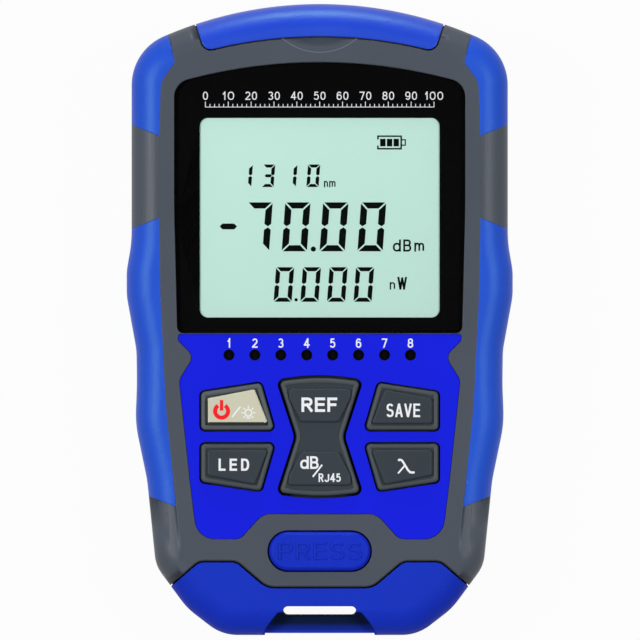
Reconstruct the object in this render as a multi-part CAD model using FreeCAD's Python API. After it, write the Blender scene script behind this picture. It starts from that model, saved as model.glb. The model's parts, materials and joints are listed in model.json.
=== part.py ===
"""Handheld optical power meter with a hinged port cover and a detachable cable-test remote.

The meter lies on its back. X runs across it, +Y towards the end with the ports, +Z out of the
face with the keys. The origin is at the middle of the back. All sizes are in millimetres.
"""
import FreeCAD, Part
import math
import os
from FreeCAD import Placement, Rotation, Vector

# Case
CASE_LENGTH = 123.8
CASE_WIDTH = 75.5
CASE_DEPTH = 29.0
SPLIT_Z = 15.0
FRONT_EDGE_R = 5.3
BACK_EDGE_R = 4.0
CROWN_R = 77.0
CROWN_END_STRAIGHT = 0.5
CORNER_R = 10.4
SIDE_INSET = 0.85
WALL = 3.0
BODY_GAP = 0.3

# Building aids: how far a cut runs past a face, how deep a detail reaches into its carrier
OVER = 1.0
ROOT = 0.5

# Corners of the flank: in from the half width, above the lower end of the display, radius
FLANK_HIGH = (0.85, 17.85, 25.0)
HIP_HIGH = (-0.12, 12.25, 12.0)
HIP_LOW = (-0.12, 7.25, 12.0)
WAIST_HIGH = (1.8, -3.35, 14.0)
WAIST_MIDDLE = (1.9, -9.85, 60.0)
WAIST_LOW = (1.6, -17.75, 22.0)
FLANK_LOW = (3.9, -28.85, 26.0)

# Corners of the tail: in from the half width, above the lower end of the case, radius
TAIL_SHOULDER = (5.6, 13.6, 7.0)
TAIL_FLANK = (11.7, 5.3, 14.0)
TAIL_END = (18.55, 0.0, 9.0)

# Rubber grips
GRIP_THICKNESS = 1.4
GRIP_SEAT_CHAMFER = 2.2
GRIP_RUN_OUT = 5.0

# Inner edge of the corner grips: in from the half width, below the upper end, radius
CORNER_GRIP_TOP = (7.15, 2.4, 0.0)
CORNER_GRIP_POINT = (9.4, 11.5, 0.6)
CORNER_GRIP_NECK = (6.65, 15.3, 4.0)
CORNER_GRIP_END = (6.3, 25.95, 0.0)
CORNER_GRIP_SLANT = 4.65

# Inner edge of the side grips: in from the half width, above the lower end of the display, radius
SIDE_GRIP_TOP = (6.25, 22.55, 0.0)
SIDE_GRIP_HIP = (6.55, 6.65, 120.0)
SIDE_GRIP_WAIST = (7.65, -15.05, 160.0)
SIDE_GRIP_END = (9.6, -34.05, 0.0)
SIDE_GRIP_TOP_SLANT = 4.5
SIDE_GRIP_END_SLANT = 5.7

# Port end
COVER_HALF_WIDTH = 22.5
COVER_END_SLANT_DEG = 18.4
COVER_SIDE_LENGTH = 9.3
COVER_ARCH = 2.9
COVER_CORNER_R = 1.8
COVER_WALL = 2.0
HINGE_HALF_LENGTH = 12.0
HINGE_KNUCKLE_HALF = 7.0
HINGE_INSET = 3.3
HINGE_Z = 5.5
HINGE_PIN_R = 1.0
HINGE_KNUCKLE_R = 2.2
PIN_CLEARANCE = 0.05
HINGE_WEB_HALF = 1.2
COVER_HEEL_GAP = 0.1
CHEEK_INSET = 2.3
CHEEK_RISE = 2.5
KNUCKLE_NOTCH = 3.0
SILL_Z = 1.9
SILL_SHOULDER_Z = 4.6
DECK_INSET = 9.9
DECK_SIDE_MARGIN = 1.5
PORT_PLATE_T = 1.6
BROW_T = 2.2
SCOOP_HALF_WIDTH = 7.6
SCOOP_REACH = 2.5
SCOOP_DEPTH = 1.2
SCOOP_FLARE = 1.6
SCOOP_OVER_R = 0.05
SCOOP_OVER_Z = 0.02

# Display
LENS_SIDE_INSET = 9.3
LENS_TOP_INSET = 11.5
LENS_BOTTOM_RISE = 59.25
LENS_CROWN_R = 100.0
LENS_CROWN_END_STRAIGHT = 1.0393
LENS_TAPER = 0.6
LENS_TAPER_START = 24.65
LENS_SIDE_R = 200.0
LENS_TOP_R = 3.6
LENS_BOTTOM_R = 1.4
LENS_CHAMFER = 0.25
LENS_POCKET = 1.5
LENS_SINK = 0.1
MASK_T = 0.2
WINDOW_SIDE_MARGIN = 4.95
WINDOW_TOP_MARGIN = 10.9
WINDOW_BOTTOM_MARGIN = 3.05
WINDOW_R = 1.6
LCD_MARGIN = 1.8
LCD_T = 2.5
LCD_FRAME_T = 2.0
BACKLIGHT_INSET = 0.6
SEAT_GAP = 0.1

# Keypad
PANEL_SIDE_INSET = 10.05
PANEL_BOTTOM_RISE = 18.9
PANEL_LENS_GAP = 0.25
PANEL_T = 0.8
PANEL_SINK = 0.1
PANEL_NOTCH_DEPTH = 3.1
PANEL_NOTCH_Y = 4.55
PANEL_TOP_R = 0.5
PANEL_LIP_R = 0.8
PANEL_NOTCH_R = 2.0
PANEL_NOTCH_INSET = 0.2
PANEL_NOTCH_SPAN = 4.65
PANEL_NOTCH_END_R = 2.5
PANEL_FLANK_INSET = 2.3
PANEL_FLANK_RISE = 11.5
PANEL_FLANK_R = 120.0
PANEL_HORN_INSET = 3.7
PANEL_HORN_R = 4.0
PANEL_HORN_SHARE = 0.6
PANEL_BAY_FOOT_R = 2.5
PANEL_BAY_TOP_R = 3.5
PANEL_BAY_HALF = 11.2
PANEL_BAY_RISE = 4.9
PANEL_BAY_SLANT = 4.4
LAMP_PITCH = 5.08
LAMP_COUNT = 8
LAMP_HOLE_R = 1.08
LAMP_DROP = 4.3
KEY_ROW_RISE = 38.9
KEY_SIDE_MARGIN = 4.4
KEY_INNER_X = 8.8
KEY_SLANT_X = 11.5
KEY_NEAR = 1.3
KEY_FAR_OUTER = 8.8
KEY_FAR_INNER = 10.6
KEY_R = 0.9
KEY_EDGE = 0.25
KEY_BEZEL = 1.25
KEY_CLEARANCE = 0.3
KEY_FLANGE = 0.8
KEY_RIM_PROUD = 0.4
KEY_FACE_PROUD = 1.2
KEY_FACE_R = 0.5
KEY_FLANGE_T = 0.9
FACE_ROOT = 0.5
ROCKER_HALF_TOP = 7.95
ROCKER_HALF_WAIST = 5.05
ROCKER_REACH = 10.9
ROCKER_CROWN = 0.5
ROCKER_CROWN_R = 40.0
ROCKER_WAIST_R = 4.0
ROCKER_CLEARANCE = 0.5
ROCKER_DROP = 0.6
ROCKER_DOME_Y = 7.4
PAD_SIDE_MARGIN = 1.75
PAD_WAIST_MARGIN = 1.05
PAD_END_MARGIN = 1.4
PAD_STRAIGHT = 2.0
PAD_NEAR = 2.9
PAD_R = 0.7
ROCKER_RIDGE_R = 1.2
ROCKER_RIDGE_HALF = 3.0
ROCKER_RIDGE_RISE = 1.55
PLUNGER_R = 1.6
PLUNGER_OUT = 0.4
PLUNGER_FAR = 0.6
DOME_R = 2.6
DOME_TOP_R = 1.3
DOME_T = 1.1
DOME_GAP = 0.1

# Electronics and battery
BOARD_DROP = 7.0
BOARD_T = 1.6
BOARD_SIDE_INSET = 10.25
BOARD_TOP_INSET = 22.1
BOARD_BOTTOM_RISE = 25.9
BOARD_CORNER_R = 1.5
BOARD_POST_R = 1.9
BOARD_POST_OUT = 1.7
BOARD_POST_TOP_MARGIN = 3.3
BOARD_POST_BOTTOM_MARGIN = 7.0
CELL_R = 7.25
CELL_LENGTH = 49.2
CELL_NUB_R = 2.7
CELL_NUB_T = 1.2
CELL_PITCH = 14.8
CELL_COUNT = 3
CELL_BASE_Z = 2.5
CELL_BOTTOM_RISE = 30.2
CELL_SIDE_PLAY = 0.25
TRAY_WALL = 1.2
TRAY_RISE = 2.0
CONTACT_T = 0.4
CONTACT_SIZE = 10.0
CONTACT_LEAF_WIDTH = 4.0
LEAF_ROOM = 1.8
DOOR_T = 2.0
DOOR_LEDGE = 1.0
DOOR_HALF_WIDTH = 24.4
DOOR_TOP_MARGIN = 7.0
DOOR_SCREW_INSET = 3.2
DOOR_SCREW_LENGTH = 4.0
DOOR_SCREW_HEAD_T = 0.9
DOOR_SCREW_DEPTH = 3.2
DOOR_SINK_DEPTH = 1.0
DOOR_SINK_PLAY = 0.15
DOOR_BOSS_RISE = 4.2
DOOR_BOSS_R = 2.8
DOOR_MARGIN = 1.4
DOOR_END_PLAY = 0.3
DOOR_CORNER_R = 0.4
CRADLE_INSET = 8.0
CRADLE_WIDTH = 2.0
CRADLE_SIDE_GAP = 1.2
CRADLE_GAP = 0.05
DOOR_GAP = 0.15
DOOR_GROOVES = 5
DOOR_GROOVE_RISE = 6.0
DOOR_GROOVE_PITCH = 1.8
DOOR_GROOVE_WIDTH = 0.8
DOOR_GROOVE_DEPTH = 0.5
DOOR_GROOVE_HALF = 8.0
SCREW_R = 1.5
SCREW_HEAD_R = 2.8
SCREW_HEAD_T = 1.7
SCREW_LENGTH = 19.0
SCREW_BOSS_R = 3.2
SCREW_RECESS = 0.8
SCREW_POINT_GAP = 1.0
SCREW_PLAY = 0.1
SCREW_HEAD_PLAY = 0.2
TOP_SCREW_SIDE_INSET = 12.75
TOP_SCREW_INSET = 15.1
BOTTOM_SCREW_SIDE_INSET = 13.25
BOTTOM_SCREW_RISE = 21.9

# Ports
JACK_WIDTH = 16.0
JACK_HEIGHT = 12.0
JACK_DEPTH = 15.0
JACK_FLOOR_T = 2.6
JACK_MOUTH_WIDTH = 11.9
JACK_MOUTH_HEIGHT = 7.0
JACK_MOUTH_DEPTH = 11.5
JACK_KEY_WIDTH = 6.2
JACK_KEY_HEIGHT = 1.6
JACK_PINS = 8
JACK_PIN_PITCH = 1.02
JACK_PIN_HALF = 0.2
JACK_PIN_T = 0.4
JACK_PIN_DROP = 2.0
JACK_PIN_REACH = 6.5
JACK_PIN_TIP = 1.0
JACK_PROUD = 1.2
NETWORK_JACK_X = -12.0
NETWORK_JACK_Z = 10.4
PORT_Z = 12.6
OPTICAL_X = 2.6
OPTICAL_FLANGE_R = 5.4
OPTICAL_BARREL_R = 4.0
OPTICAL_LENGTH = 5.4
MOUTH_WALL = 1.0
MOUTH_DEPTH = 2.6
KEYWAY_HALF = 1.0
KEYWAY_DEPTH = 1.8
FERRULE_R = 1.25
SLEEVE_WALL = 0.45
SLEEVE_LENGTH = 9.0
SLEEVE_INSET = 1.2
SLEEVE_FLOOR = 1.0
DETECTOR_R = 4.6
DETECTOR_LENGTH = 9.0
DETECTOR_SOCKET = 5.2
LASER_X = 13.4
LASER_FLANGE_R = 4.6
LASER_BARREL_R = 3.4
LASER_LENGTH = 4.6
LASER_CAN_R = 3.8
LASER_CAN_LENGTH = 12.0
PORT_FLANGE_T = 1.4
PORT_STEM_INSET = 0.8
PORT_STEM_BACK = 2.0
TORCH_X = 8.2
TORCH_DROP = 7.3
TORCH_R = 2.5
TORCH_PROUD = 2.6
TORCH_CHAMFER = 1.1
TORCH_TAIL = 4.0
TORCH_COLLAR = 0.5
TORCH_COLLAR_T = 0.8

# Release button and remote
BUTTON_LENGTH = 19.9
BUTTON_WIDTH = 7.6
BUTTON_RISE = 16.5
BUTTON_PROUD = 0.5
BUTTON_EDGE = 0.6
BUTTON_FLANGE = 0.8
BUTTON_FLANGE_T = 1.0
BUTTON_STEM_R = 1.6
GUIDE_T = 1.0
GUIDE_SLOT_NEAR = 2.1
GUIDE_SLOT_FAR = 4.1
SPRING_ROOM = 3.7
SPRING_R = 2.5
SPRING_WIRE_R = 0.25
SPRING_TURNS = 3.5
SPRING_STEPS = 10
SPRING_WIRE_SIDES = 5
SPRING_END_GAP = 0.05
REMOTE_SEAM_RISE = 9.2
REMOTE_SHOULDER_RISE = 14.3
REMOTE_SHOULDER_INNER_X = 16.4
REMOTE_SHOULDER_INSET = 14.15
REMOTE_SHOULDER_R = 2.6
REMOTE_FLANK_DEG = 40.7
REMOTE_SEAM_HALF = 10.4
REMOTE_SEAM_R = 4.5
REMOTE_RUN_OUT = 3.0
TONGUE_HALF_WIDTH = 9.4
TONGUE_END_RISE = 23.4
TONGUE_DROP = 25.0
TONGUE_START = 2.2
TONGUE_WALL = 1.3
TONGUE_GAP = 0.35
BAY_WALL = 1.5
LATCH_T = 1.0
LATCH_HALF_WIDTH = 2.6
LATCH_PLAY = 0.7
LATCH_SIDE_PLAY = 0.4
LATCH_ROOT = 0.8
LATCH_TIP = 3.8
LATCH_HOOK_T = 1.4
LATCH_HOOK_GAP = 0.4
LATCH_GAP = 0.05
STRAP_SLOT_RISE = 4.75
STRAP_SLOT_LENGTH = 14.3
STRAP_SLOT_WIDTH = 1.9
STRAP_BAR_SINK = 4.6
STRAP_BAR_SHORT = 0.4
HORN_TIP_R = 1.2
HORN_SETBACK = 3.6
HORN_R = 2.0

# Corners of the step round the strap bar: past the slot's end, below its middle, radius
STRAP_SHOULDER = (1.0, 0.2, 0.8)
STRAP_FLANK = (2.4, 1.9, 1.0)

TOP_Y = CASE_LENGTH / 2
BOTTOM_Y = -TOP_Y
HALF_WIDTH = CASE_WIDTH / 2
SIDE_X = HALF_WIDTH - SIDE_INSET
ROOF_Z = CASE_DEPTH - WALL
DECK_Y = TOP_Y - DECK_INSET
DECK_HALF = COVER_HALF_WIDTH - DECK_SIDE_MARGIN
LENS_HALF_WIDTH = HALF_WIDTH - LENS_SIDE_INSET
LENS_TOP_Y = TOP_Y - LENS_TOP_INSET
LENS_BOTTOM_Y = BOTTOM_Y + LENS_BOTTOM_RISE
WINDOW_HALF_WIDTH = LENS_HALF_WIDTH - WINDOW_SIDE_MARGIN
WINDOW_TOP_Y = LENS_TOP_Y - WINDOW_TOP_MARGIN
WINDOW_BOTTOM_Y = LENS_BOTTOM_Y + WINDOW_BOTTOM_MARGIN
PANEL_HALF_WIDTH = HALF_WIDTH - PANEL_SIDE_INSET
PANEL_BOTTOM_Y = BOTTOM_Y + PANEL_BOTTOM_RISE
LAMP_Y = LENS_BOTTOM_Y - LAMP_DROP
KEY_ROW_Y = BOTTOM_Y + KEY_ROW_RISE
KEY_OUTER_X = PANEL_HALF_WIDTH - KEY_SIDE_MARGIN
BOARD_TOP_Z = CASE_DEPTH - BOARD_DROP
BOARD_BASE_Z = BOARD_TOP_Z - BOARD_T
BOARD_HALF_WIDTH = HALF_WIDTH - BOARD_SIDE_INSET
BOARD_TOP_Y = TOP_Y - BOARD_TOP_INSET
BOARD_BOTTOM_Y = BOTTOM_Y + BOARD_BOTTOM_RISE
CELL_BOTTOM_Y = BOTTOM_Y + CELL_BOTTOM_RISE
TRAY_X = CELL_PITCH * (CELL_COUNT - 1) / 2 + CELL_R + CELL_SIDE_PLAY
BOARD_POST_X = TRAY_X + TRAY_WALL + BOARD_POST_OUT
TORCH_Z = CASE_DEPTH - TORCH_DROP
BUTTON_Y = BOTTOM_Y + BUTTON_RISE
REMOTE_SEAM_Y = BOTTOM_Y + REMOTE_SEAM_RISE
REMOTE_SHOULDER_Y = BOTTOM_Y + REMOTE_SHOULDER_RISE
REMOTE_SHOULDER_OUTER_X = HALF_WIDTH - REMOTE_SHOULDER_INSET
STRAP_SLOT_Y = BOTTOM_Y + STRAP_SLOT_RISE
TONGUE_END_Y = BOTTOM_Y + TONGUE_END_RISE
PANEL_TOP_Z = CASE_DEPTH - PANEL_SINK
PANEL_BASE_Z = PANEL_TOP_Z - PANEL_T
LENS_BASE_Z = CASE_DEPTH - LENS_POCKET
LENS_TOP_Z = CASE_DEPTH - LENS_SINK
FLANGE_TOP_Z = ROOF_Z - BODY_GAP
FLANGE_BASE_Z = FLANGE_TOP_Z - KEY_FLANGE_T
RIM_TOP_Z = PANEL_TOP_Z + KEY_RIM_PROUD
FACE_TOP_Z = PANEL_TOP_Z + KEY_FACE_PROUD
PLUNGER_BASE_Z = BOARD_TOP_Z + DOME_T + DOME_GAP
HINGE_Y = TOP_Y - HINGE_INSET
COVER_LOW_Y = TOP_Y - COVER_SIDE_LENGTH
TONGUE_BASE_Z = CASE_DEPTH - TONGUE_DROP
TONGUE_TOP_Z = TONGUE_BASE_Z + JACK_HEIGHT + 2 * TONGUE_WALL - LATCH_T
BAY_TOP_Z = TONGUE_TOP_Z + LATCH_T + LATCH_PLAY
GUIDE_TOP_Z = BAY_TOP_Z + GUIDE_T
BUTTON_BASE_Z = GUIDE_TOP_Z + SPRING_ROOM
TAIL_BLOCK_Y = TONGUE_END_Y + BAY_WALL
REAR_BLOCK_Y = CELL_BOTTOM_Y - LEAF_ROOM
CELL_TOP_Y = CELL_BOTTOM_Y + CELL_LENGTH + CELL_NUB_T
DOOR_BOTTOM_Y = CELL_BOTTOM_Y - DOOR_MARGIN
DOOR_TOP_Y = CELL_TOP_Y + DOOR_TOP_MARGIN
DOOR_SCREW_Y = DOOR_TOP_Y - DOOR_SCREW_INSET
PAST = 20.0


def rounded_wire(corners):
    """Closed flat wire through corners (x, y, radius), each turned by a tangent arc."""
    arcs = []
    count = len(corners)
    for index, (x, y, radius) in enumerate(corners):
        here = Vector(x, y, 0)
        ahead = corners[(index + 1) % count]
        before = (Vector(corners[index - 1][0], corners[index - 1][1], 0) - here).normalize()
        after = (Vector(ahead[0], ahead[1], 0) - here).normalize()
        half = before.getAngle(after) / 2
        setback = radius / math.tan(half)
        middle = here + (before + after).normalize() * (radius / math.sin(half) - radius)
        arcs.append((here + before * setback, middle, here + after * setback, radius))
    edges = []
    for index, (start, middle, end, radius) in enumerate(arcs):
        if radius > 0:
            edges.append(Part.Arc(start, middle, end).toShape())
        following = arcs[(index + 1) % count][0]
        if (following - end).Length > 1e-5:
            edges.append(Part.LineSegment(end, following).toShape())
    return Part.Wire(edges)


def both_sides(right):
    """Corners of a symmetric outline, from its right half given from top to bottom."""
    return right + [(-x, y, radius) for x, y, radius in reversed(right)]


def placed(corner, level):
    """Corner of the right half, from its distance in from the half width and above a level."""
    inset, rise, radius = corner
    return HALF_WIDTH - inset, level + rise, radius


def hung(corner):
    """Corner of the right half, from its distance in from the half width and below the upper end."""
    inset, drop, radius = corner
    return HALF_WIDTH - inset, TOP_Y - drop, radius


def prism(wire, low, high):
    """Straight solid on a flat wire between two heights."""
    solid = Part.Face(wire).extrude(Vector(0, 0, high - low))
    solid.translate(Vector(0, 0, low))
    return solid


def block(x0, x1, y0, y1, z0, z1):
    """Box between two corners."""
    return Part.makeBox(x1 - x0, y1 - y0, z1 - z0, Vector(x0, y0, z0))


def post(x, y, radius, low, high):
    """Upright cylinder."""
    return Part.makeCylinder(radius, high - low, Vector(x, y, low))


def rod_y(x, z, radius, low, high):
    """Cylinder along Y."""
    return Part.makeCylinder(radius, high - low, Vector(x, low, z), Vector(0, 1, 0))


def rod_x(y, z, radius, low, high):
    """Cylinder along X."""
    return Part.makeCylinder(radius, high - low, Vector(low, y, z), Vector(1, 0, 0))


def mirrored(shape):
    """The same shape on the other side of the middle plane."""
    return shape.mirror(Vector(0, 0, 0), Vector(1, 0, 0))


def level_edges(shape, height):
    """Edges that lie flat at one height."""
    found = []
    for edge in shape.Edges:
        box = edge.BoundBox
        if abs(box.ZMin - height) < 1e-5 and abs(box.ZMax - height) < 1e-5:
            found.append(edge)
    return found


def upright_edges(shape, x, y):
    """Vertical edges that stand at one place or at its mirror image."""
    found = []
    for edge in shape.Edges:
        box = edge.BoundBox
        if abs(abs(box.XMin) - x) < 1e-4 and abs(box.YMin - y) < 1e-4 and box.YLength < 1e-4:
            found.append(edge)
    return found


def stadium(length, width, grow, low, high, centre_y):
    """Upright slot-shaped solid along X."""
    side = width / 2 + grow
    straight = (length - width) / 2
    right = Vector(straight, centre_y, 0)
    left = Vector(-straight, centre_y, 0)
    up = Vector(0, side, 0)
    out = Vector(side, 0, 0)
    edges = [Part.LineSegment(left + up, right + up).toShape(),
             Part.Arc(right + up, right + out, right - up).toShape(),
             Part.LineSegment(right - up, left - up).toShape(),
             Part.Arc(left - up, left - out, left + up).toShape()]
    return prism(Part.Wire(edges), low, high)


def triangle_solid(rings):
    """Solid with flat faces through successive rings of points, closed at both ends."""
    faces = []
    for before, after in zip(rings, rings[1:]):
        for index in range(len(before)):
            follow = (index + 1) % len(before)
            faces.append((before[index], before[follow], after[follow]))
            faces.append((before[index], after[follow], after[index]))
    for ring in (rings[0], rings[-1]):
        faces.append(tuple(ring))
    shell = Part.Shell([Part.Face(Part.makePolygon(list(face) + [face[0]])) for face in faces])
    return Part.Solid(shell)


# Case outline

def case_corners():
    """Crowned top, straight flanks, a hip at the lower end of the display, a waist, a tapered tail."""
    slope = math.asin((SIDE_X - CORNER_R - CROWN_END_STRAIGHT) / (CROWN_R - CORNER_R))
    apex = TOP_Y + CROWN_R / math.cos(slope) - CROWN_R
    corner = apex - SIDE_X * math.tan(slope)
    right = [(SIDE_X, corner, CORNER_R)]
    for place in (FLANK_HIGH, HIP_HIGH, HIP_LOW, WAIST_HIGH, WAIST_MIDDLE, WAIST_LOW, FLANK_LOW):
        right.append(placed(place, LENS_BOTTOM_Y))
    for place in (TAIL_SHOULDER, TAIL_FLANK, TAIL_END):
        right.append(placed(place, BOTTOM_Y))
    return [(0, apex, CROWN_R)] + both_sides(right)


def case_prism(inset, low, high):
    """Straight solid on the case outline, moved inwards."""
    wire = rounded_wire(case_corners())
    if inset:
        wire = wire.makeOffset2D(-inset)
    return prism(wire, low, high)


def case_form():
    """Outside of the closed case, with its rounded front and back edges."""
    solid = case_prism(0, 0, CASE_DEPTH)
    solid = solid.makeFillet(FRONT_EDGE_R, level_edges(solid, CASE_DEPTH))
    return solid.makeFillet(BACK_EDGE_R, level_edges(solid, 0))


def grip_core():
    """Form that the rubber grips are moulded over, with chamfered edges."""
    low = GRIP_THICKNESS
    high = CASE_DEPTH - GRIP_THICKNESS
    solid = case_prism(GRIP_THICKNESS, low, high)
    return solid.makeChamfer(GRIP_SEAT_CHAMFER, level_edges(solid, high) + level_edges(solid, low))


def corner_grip_region():
    """Area of the rubber over the upper right corner."""
    edge = HALF_WIDTH + GRIP_RUN_OUT
    end = hung(CORNER_GRIP_END)
    corners = [hung(CORNER_GRIP_TOP), hung(CORNER_GRIP_POINT), hung(CORNER_GRIP_NECK), end,
               (edge, end[1] + CORNER_GRIP_SLANT, 0), (edge, TOP_Y + OVER, 0)]
    return prism(rounded_wire(corners), -OVER, CASE_DEPTH + OVER)


def side_grip_region():
    """Area of the rubber along the right flank."""
    edge = HALF_WIDTH + GRIP_RUN_OUT
    top = placed(SIDE_GRIP_TOP, LENS_BOTTOM_Y)
    end = placed(SIDE_GRIP_END, LENS_BOTTOM_Y)
    corners = [top, placed(SIDE_GRIP_HIP, LENS_BOTTOM_Y), placed(SIDE_GRIP_WAIST, LENS_BOTTOM_Y), end,
               (edge, end[1] + SIDE_GRIP_END_SLANT, 0), (edge, top[1] - SIDE_GRIP_TOP_SLANT, 0)]
    return prism(rounded_wire(corners), -OVER, CASE_DEPTH + OVER)


def cover_region(grow, low, high):
    """Area of the hinged cover: slanted ends, rounded corners and an arched lower edge."""
    top = TOP_Y + HINGE_INSET
    outer = COVER_HALF_WIDTH + (top - COVER_LOW_Y) * math.tan(math.radians(COVER_END_SLANT_DEG))
    right = Vector(COVER_HALF_WIDTH, COVER_LOW_Y, 0)
    left = Vector(-COVER_HALF_WIDTH, COVER_LOW_Y, 0)
    middle = Vector(0, COVER_LOW_Y + COVER_ARCH, 0)
    edges = [Part.Arc(left, middle, right).toShape(),
             Part.LineSegment(right, Vector(outer, top, 0)).toShape(),
             Part.LineSegment(Vector(outer, top, 0), Vector(-outer, top, 0)).toShape(),
             Part.LineSegment(Vector(-outer, top, 0), left).toShape()]
    solid = prism(Part.Wire(edges), low, high)
    solid = solid.makeFillet(COVER_CORNER_R, upright_edges(solid, COVER_HALF_WIDTH, COVER_LOW_Y))
    if not grow:
        return solid
    base = [face for face in solid.Faces if face.BoundBox.ZLength < 1e-6][0]
    wire = base.OuterWire.makeOffset2D(grow)
    wire.translate(Vector(0, 0, -wire.BoundBox.ZMin))
    return prism(wire, low, high)


def remote_region(grow, low, high):
    """Area of the remote, whose seam has two shoulders and a low middle."""
    edge = HALF_WIDTH + REMOTE_RUN_OUT
    drop = (edge - REMOTE_SHOULDER_OUTER_X) * math.tan(math.radians(REMOTE_FLANK_DEG))
    right = [(REMOTE_SEAM_HALF, REMOTE_SEAM_Y, REMOTE_SEAM_R),
             (REMOTE_SHOULDER_INNER_X, REMOTE_SHOULDER_Y, REMOTE_SHOULDER_R),
             (REMOTE_SHOULDER_OUTER_X, REMOTE_SHOULDER_Y, REMOTE_SHOULDER_R),
             (edge, REMOTE_SHOULDER_Y - drop, 0),
             (edge, BOTTOM_Y - 2 * OVER, 0)]
    wire = rounded_wire(both_sides(right))
    if grow:
        wire = wire.makeOffset2D(grow)
    return prism(wire, low, high)


# Shells

def bay():
    """Space in the tail that takes the tongue of the remote."""
    half = TONGUE_HALF_WIDTH + TONGUE_GAP
    return block(-half, half, BOTTOM_Y, TONGUE_END_Y + TONGUE_GAP,
                 TONGUE_BASE_Z - TONGUE_GAP, BAY_TOP_Z)


def port_space():
    """Space under the cover: the deck pocket below the brow, and everything past the seam."""
    pocket = block(-DECK_HALF, DECK_HALF, DECK_Y - PORT_PLATE_T, TOP_Y + 2 * OVER,
                   SILL_Z, CASE_DEPTH - BROW_T)
    space = cover_region(BODY_GAP, SILL_Z, CASE_DEPTH + OVER)
    for side in (-1, 1):
        space = space.cut(sill_shoulder(side, 0, SILL_SHOULDER_Z))
    return space.fuse(pocket)


def sill_shoulder(side, grow, top):
    """Corner of the sill beside the cover, or the room for it in the cover."""
    start = DECK_HALF - grow
    edge = start if side > 0 else -start - PAST
    return block(edge, edge + PAST, DECK_Y - PORT_PLATE_T, TOP_Y + OVER, 0, top)


def cavity(bottom_y, low, high):
    """Hollow of the case between the port plate and the tail block."""
    room = block(-HALF_WIDTH, HALF_WIDTH, bottom_y, DECK_Y - PORT_PLATE_T, low, high)
    return case_prism(WALL, low, high).common(room)


def screw_places():
    """Centres of the four case screws."""
    top_x = HALF_WIDTH - TOP_SCREW_SIDE_INSET
    bottom_x = HALF_WIDTH - BOTTOM_SCREW_SIDE_INSET
    top_y = TOP_Y - TOP_SCREW_INSET
    bottom_y = BOTTOM_Y + BOTTOM_SCREW_RISE
    return [(top_x, top_y), (-top_x, top_y), (bottom_x, bottom_y), (-bottom_x, bottom_y)]


def scoop():
    """Shallow thumb scoop in the brow, in front of the cover's lip."""
    lip = COVER_LOW_Y + COVER_ARCH
    radius = (SCOOP_HALF_WIDTH ** 2 + SCOOP_REACH ** 2) / (2 * SCOOP_REACH)
    base = radius - SCOOP_FLARE * SCOOP_DEPTH
    return Part.makeCone(base, radius + SCOOP_OVER_R, SCOOP_DEPTH + SCOOP_OVER_Z,
                         Vector(0, lip - SCOOP_REACH + radius, CASE_DEPTH - SCOOP_DEPTH))


def lens_wire(grow):
    """Outline of the display lens: crowned top, rounded corners, sides that close in slightly."""
    slope = math.asin((LENS_HALF_WIDTH - LENS_TOP_R - LENS_CROWN_END_STRAIGHT) / (LENS_CROWN_R - LENS_TOP_R))
    half = LENS_HALF_WIDTH + grow
    apex = LENS_TOP_Y + grow + LENS_CROWN_R / math.cos(slope) - LENS_CROWN_R
    bottom = LENS_BOTTOM_Y - grow
    right = [(half, apex - half * math.tan(slope), LENS_TOP_R),
             (half, LENS_BOTTOM_Y + LENS_TAPER_START, LENS_SIDE_R),
             (half - LENS_TAPER, bottom, LENS_BOTTOM_R)]
    return rounded_wire([(0, apex, LENS_CROWN_R)] + both_sides(right))


def panel_wire(grow):
    """Outline of the keypad panel, with a notch at each side and a raised middle below."""
    notch = LENS_BOTTOM_Y - PANEL_NOTCH_Y
    foot = PANEL_BAY_HALF + PANEL_BAY_SLANT
    horn = PANEL_HALF_WIDTH - PANEL_HORN_INSET
    horn_radius = min(PANEL_HORN_R, PANEL_HORN_SHARE * (horn - foot))
    right = [(PANEL_HALF_WIDTH, LENS_BOTTOM_Y - PANEL_LENS_GAP, PANEL_TOP_R),
             (PANEL_HALF_WIDTH, notch + PANEL_NOTCH_DEPTH, PANEL_LIP_R),
             (PANEL_HALF_WIDTH - PANEL_NOTCH_DEPTH, notch, PANEL_NOTCH_R),
             (PANEL_HALF_WIDTH - PANEL_NOTCH_INSET, notch - PANEL_NOTCH_SPAN, PANEL_NOTCH_END_R),
             (PANEL_HALF_WIDTH - PANEL_FLANK_INSET, PANEL_BOTTOM_Y + PANEL_FLANK_RISE, PANEL_FLANK_R),
             (horn, PANEL_BOTTOM_Y, horn_radius),
             (foot, PANEL_BOTTOM_Y, PANEL_BAY_FOOT_R),
             (PANEL_BAY_HALF, PANEL_BOTTOM_Y + PANEL_BAY_RISE, PANEL_BAY_TOP_R)]
    wire = rounded_wire(both_sides(right))
    if grow:
        wire = wire.makeOffset2D(grow)
    return wire


def key_corners(side, row, grow, radius):
    """Outline of one outer key: side is +1 or -1 across, row is +1 for the upper row."""
    outer = KEY_OUTER_X + grow
    near = KEY_NEAR - grow
    corners = [(KEY_INNER_X - grow, near), (outer, near), (outer, KEY_FAR_OUTER + grow),
               (KEY_SLANT_X - grow, KEY_FAR_INNER + grow)]
    return [(side * x, KEY_ROW_Y + row * y, radius) for x, y in corners]


def rocker_corners(grow, radius):
    """Outline of the waisted middle key."""
    top = ROCKER_HALF_TOP + grow
    waist = ROCKER_HALF_WAIST + grow
    reach = ROCKER_REACH + grow
    right = [(top, KEY_ROW_Y + reach, radius), (waist, KEY_ROW_Y, ROCKER_WAIST_R),
             (top, KEY_ROW_Y - reach, radius)]
    crown = reach + 2 * ROCKER_CROWN
    return ([(0, KEY_ROW_Y + crown, ROCKER_CROWN_R)] + right + [(0, KEY_ROW_Y - crown, ROCKER_CROWN_R)]
            + [(-x, y, r) for x, y, r in reversed(right)])


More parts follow.
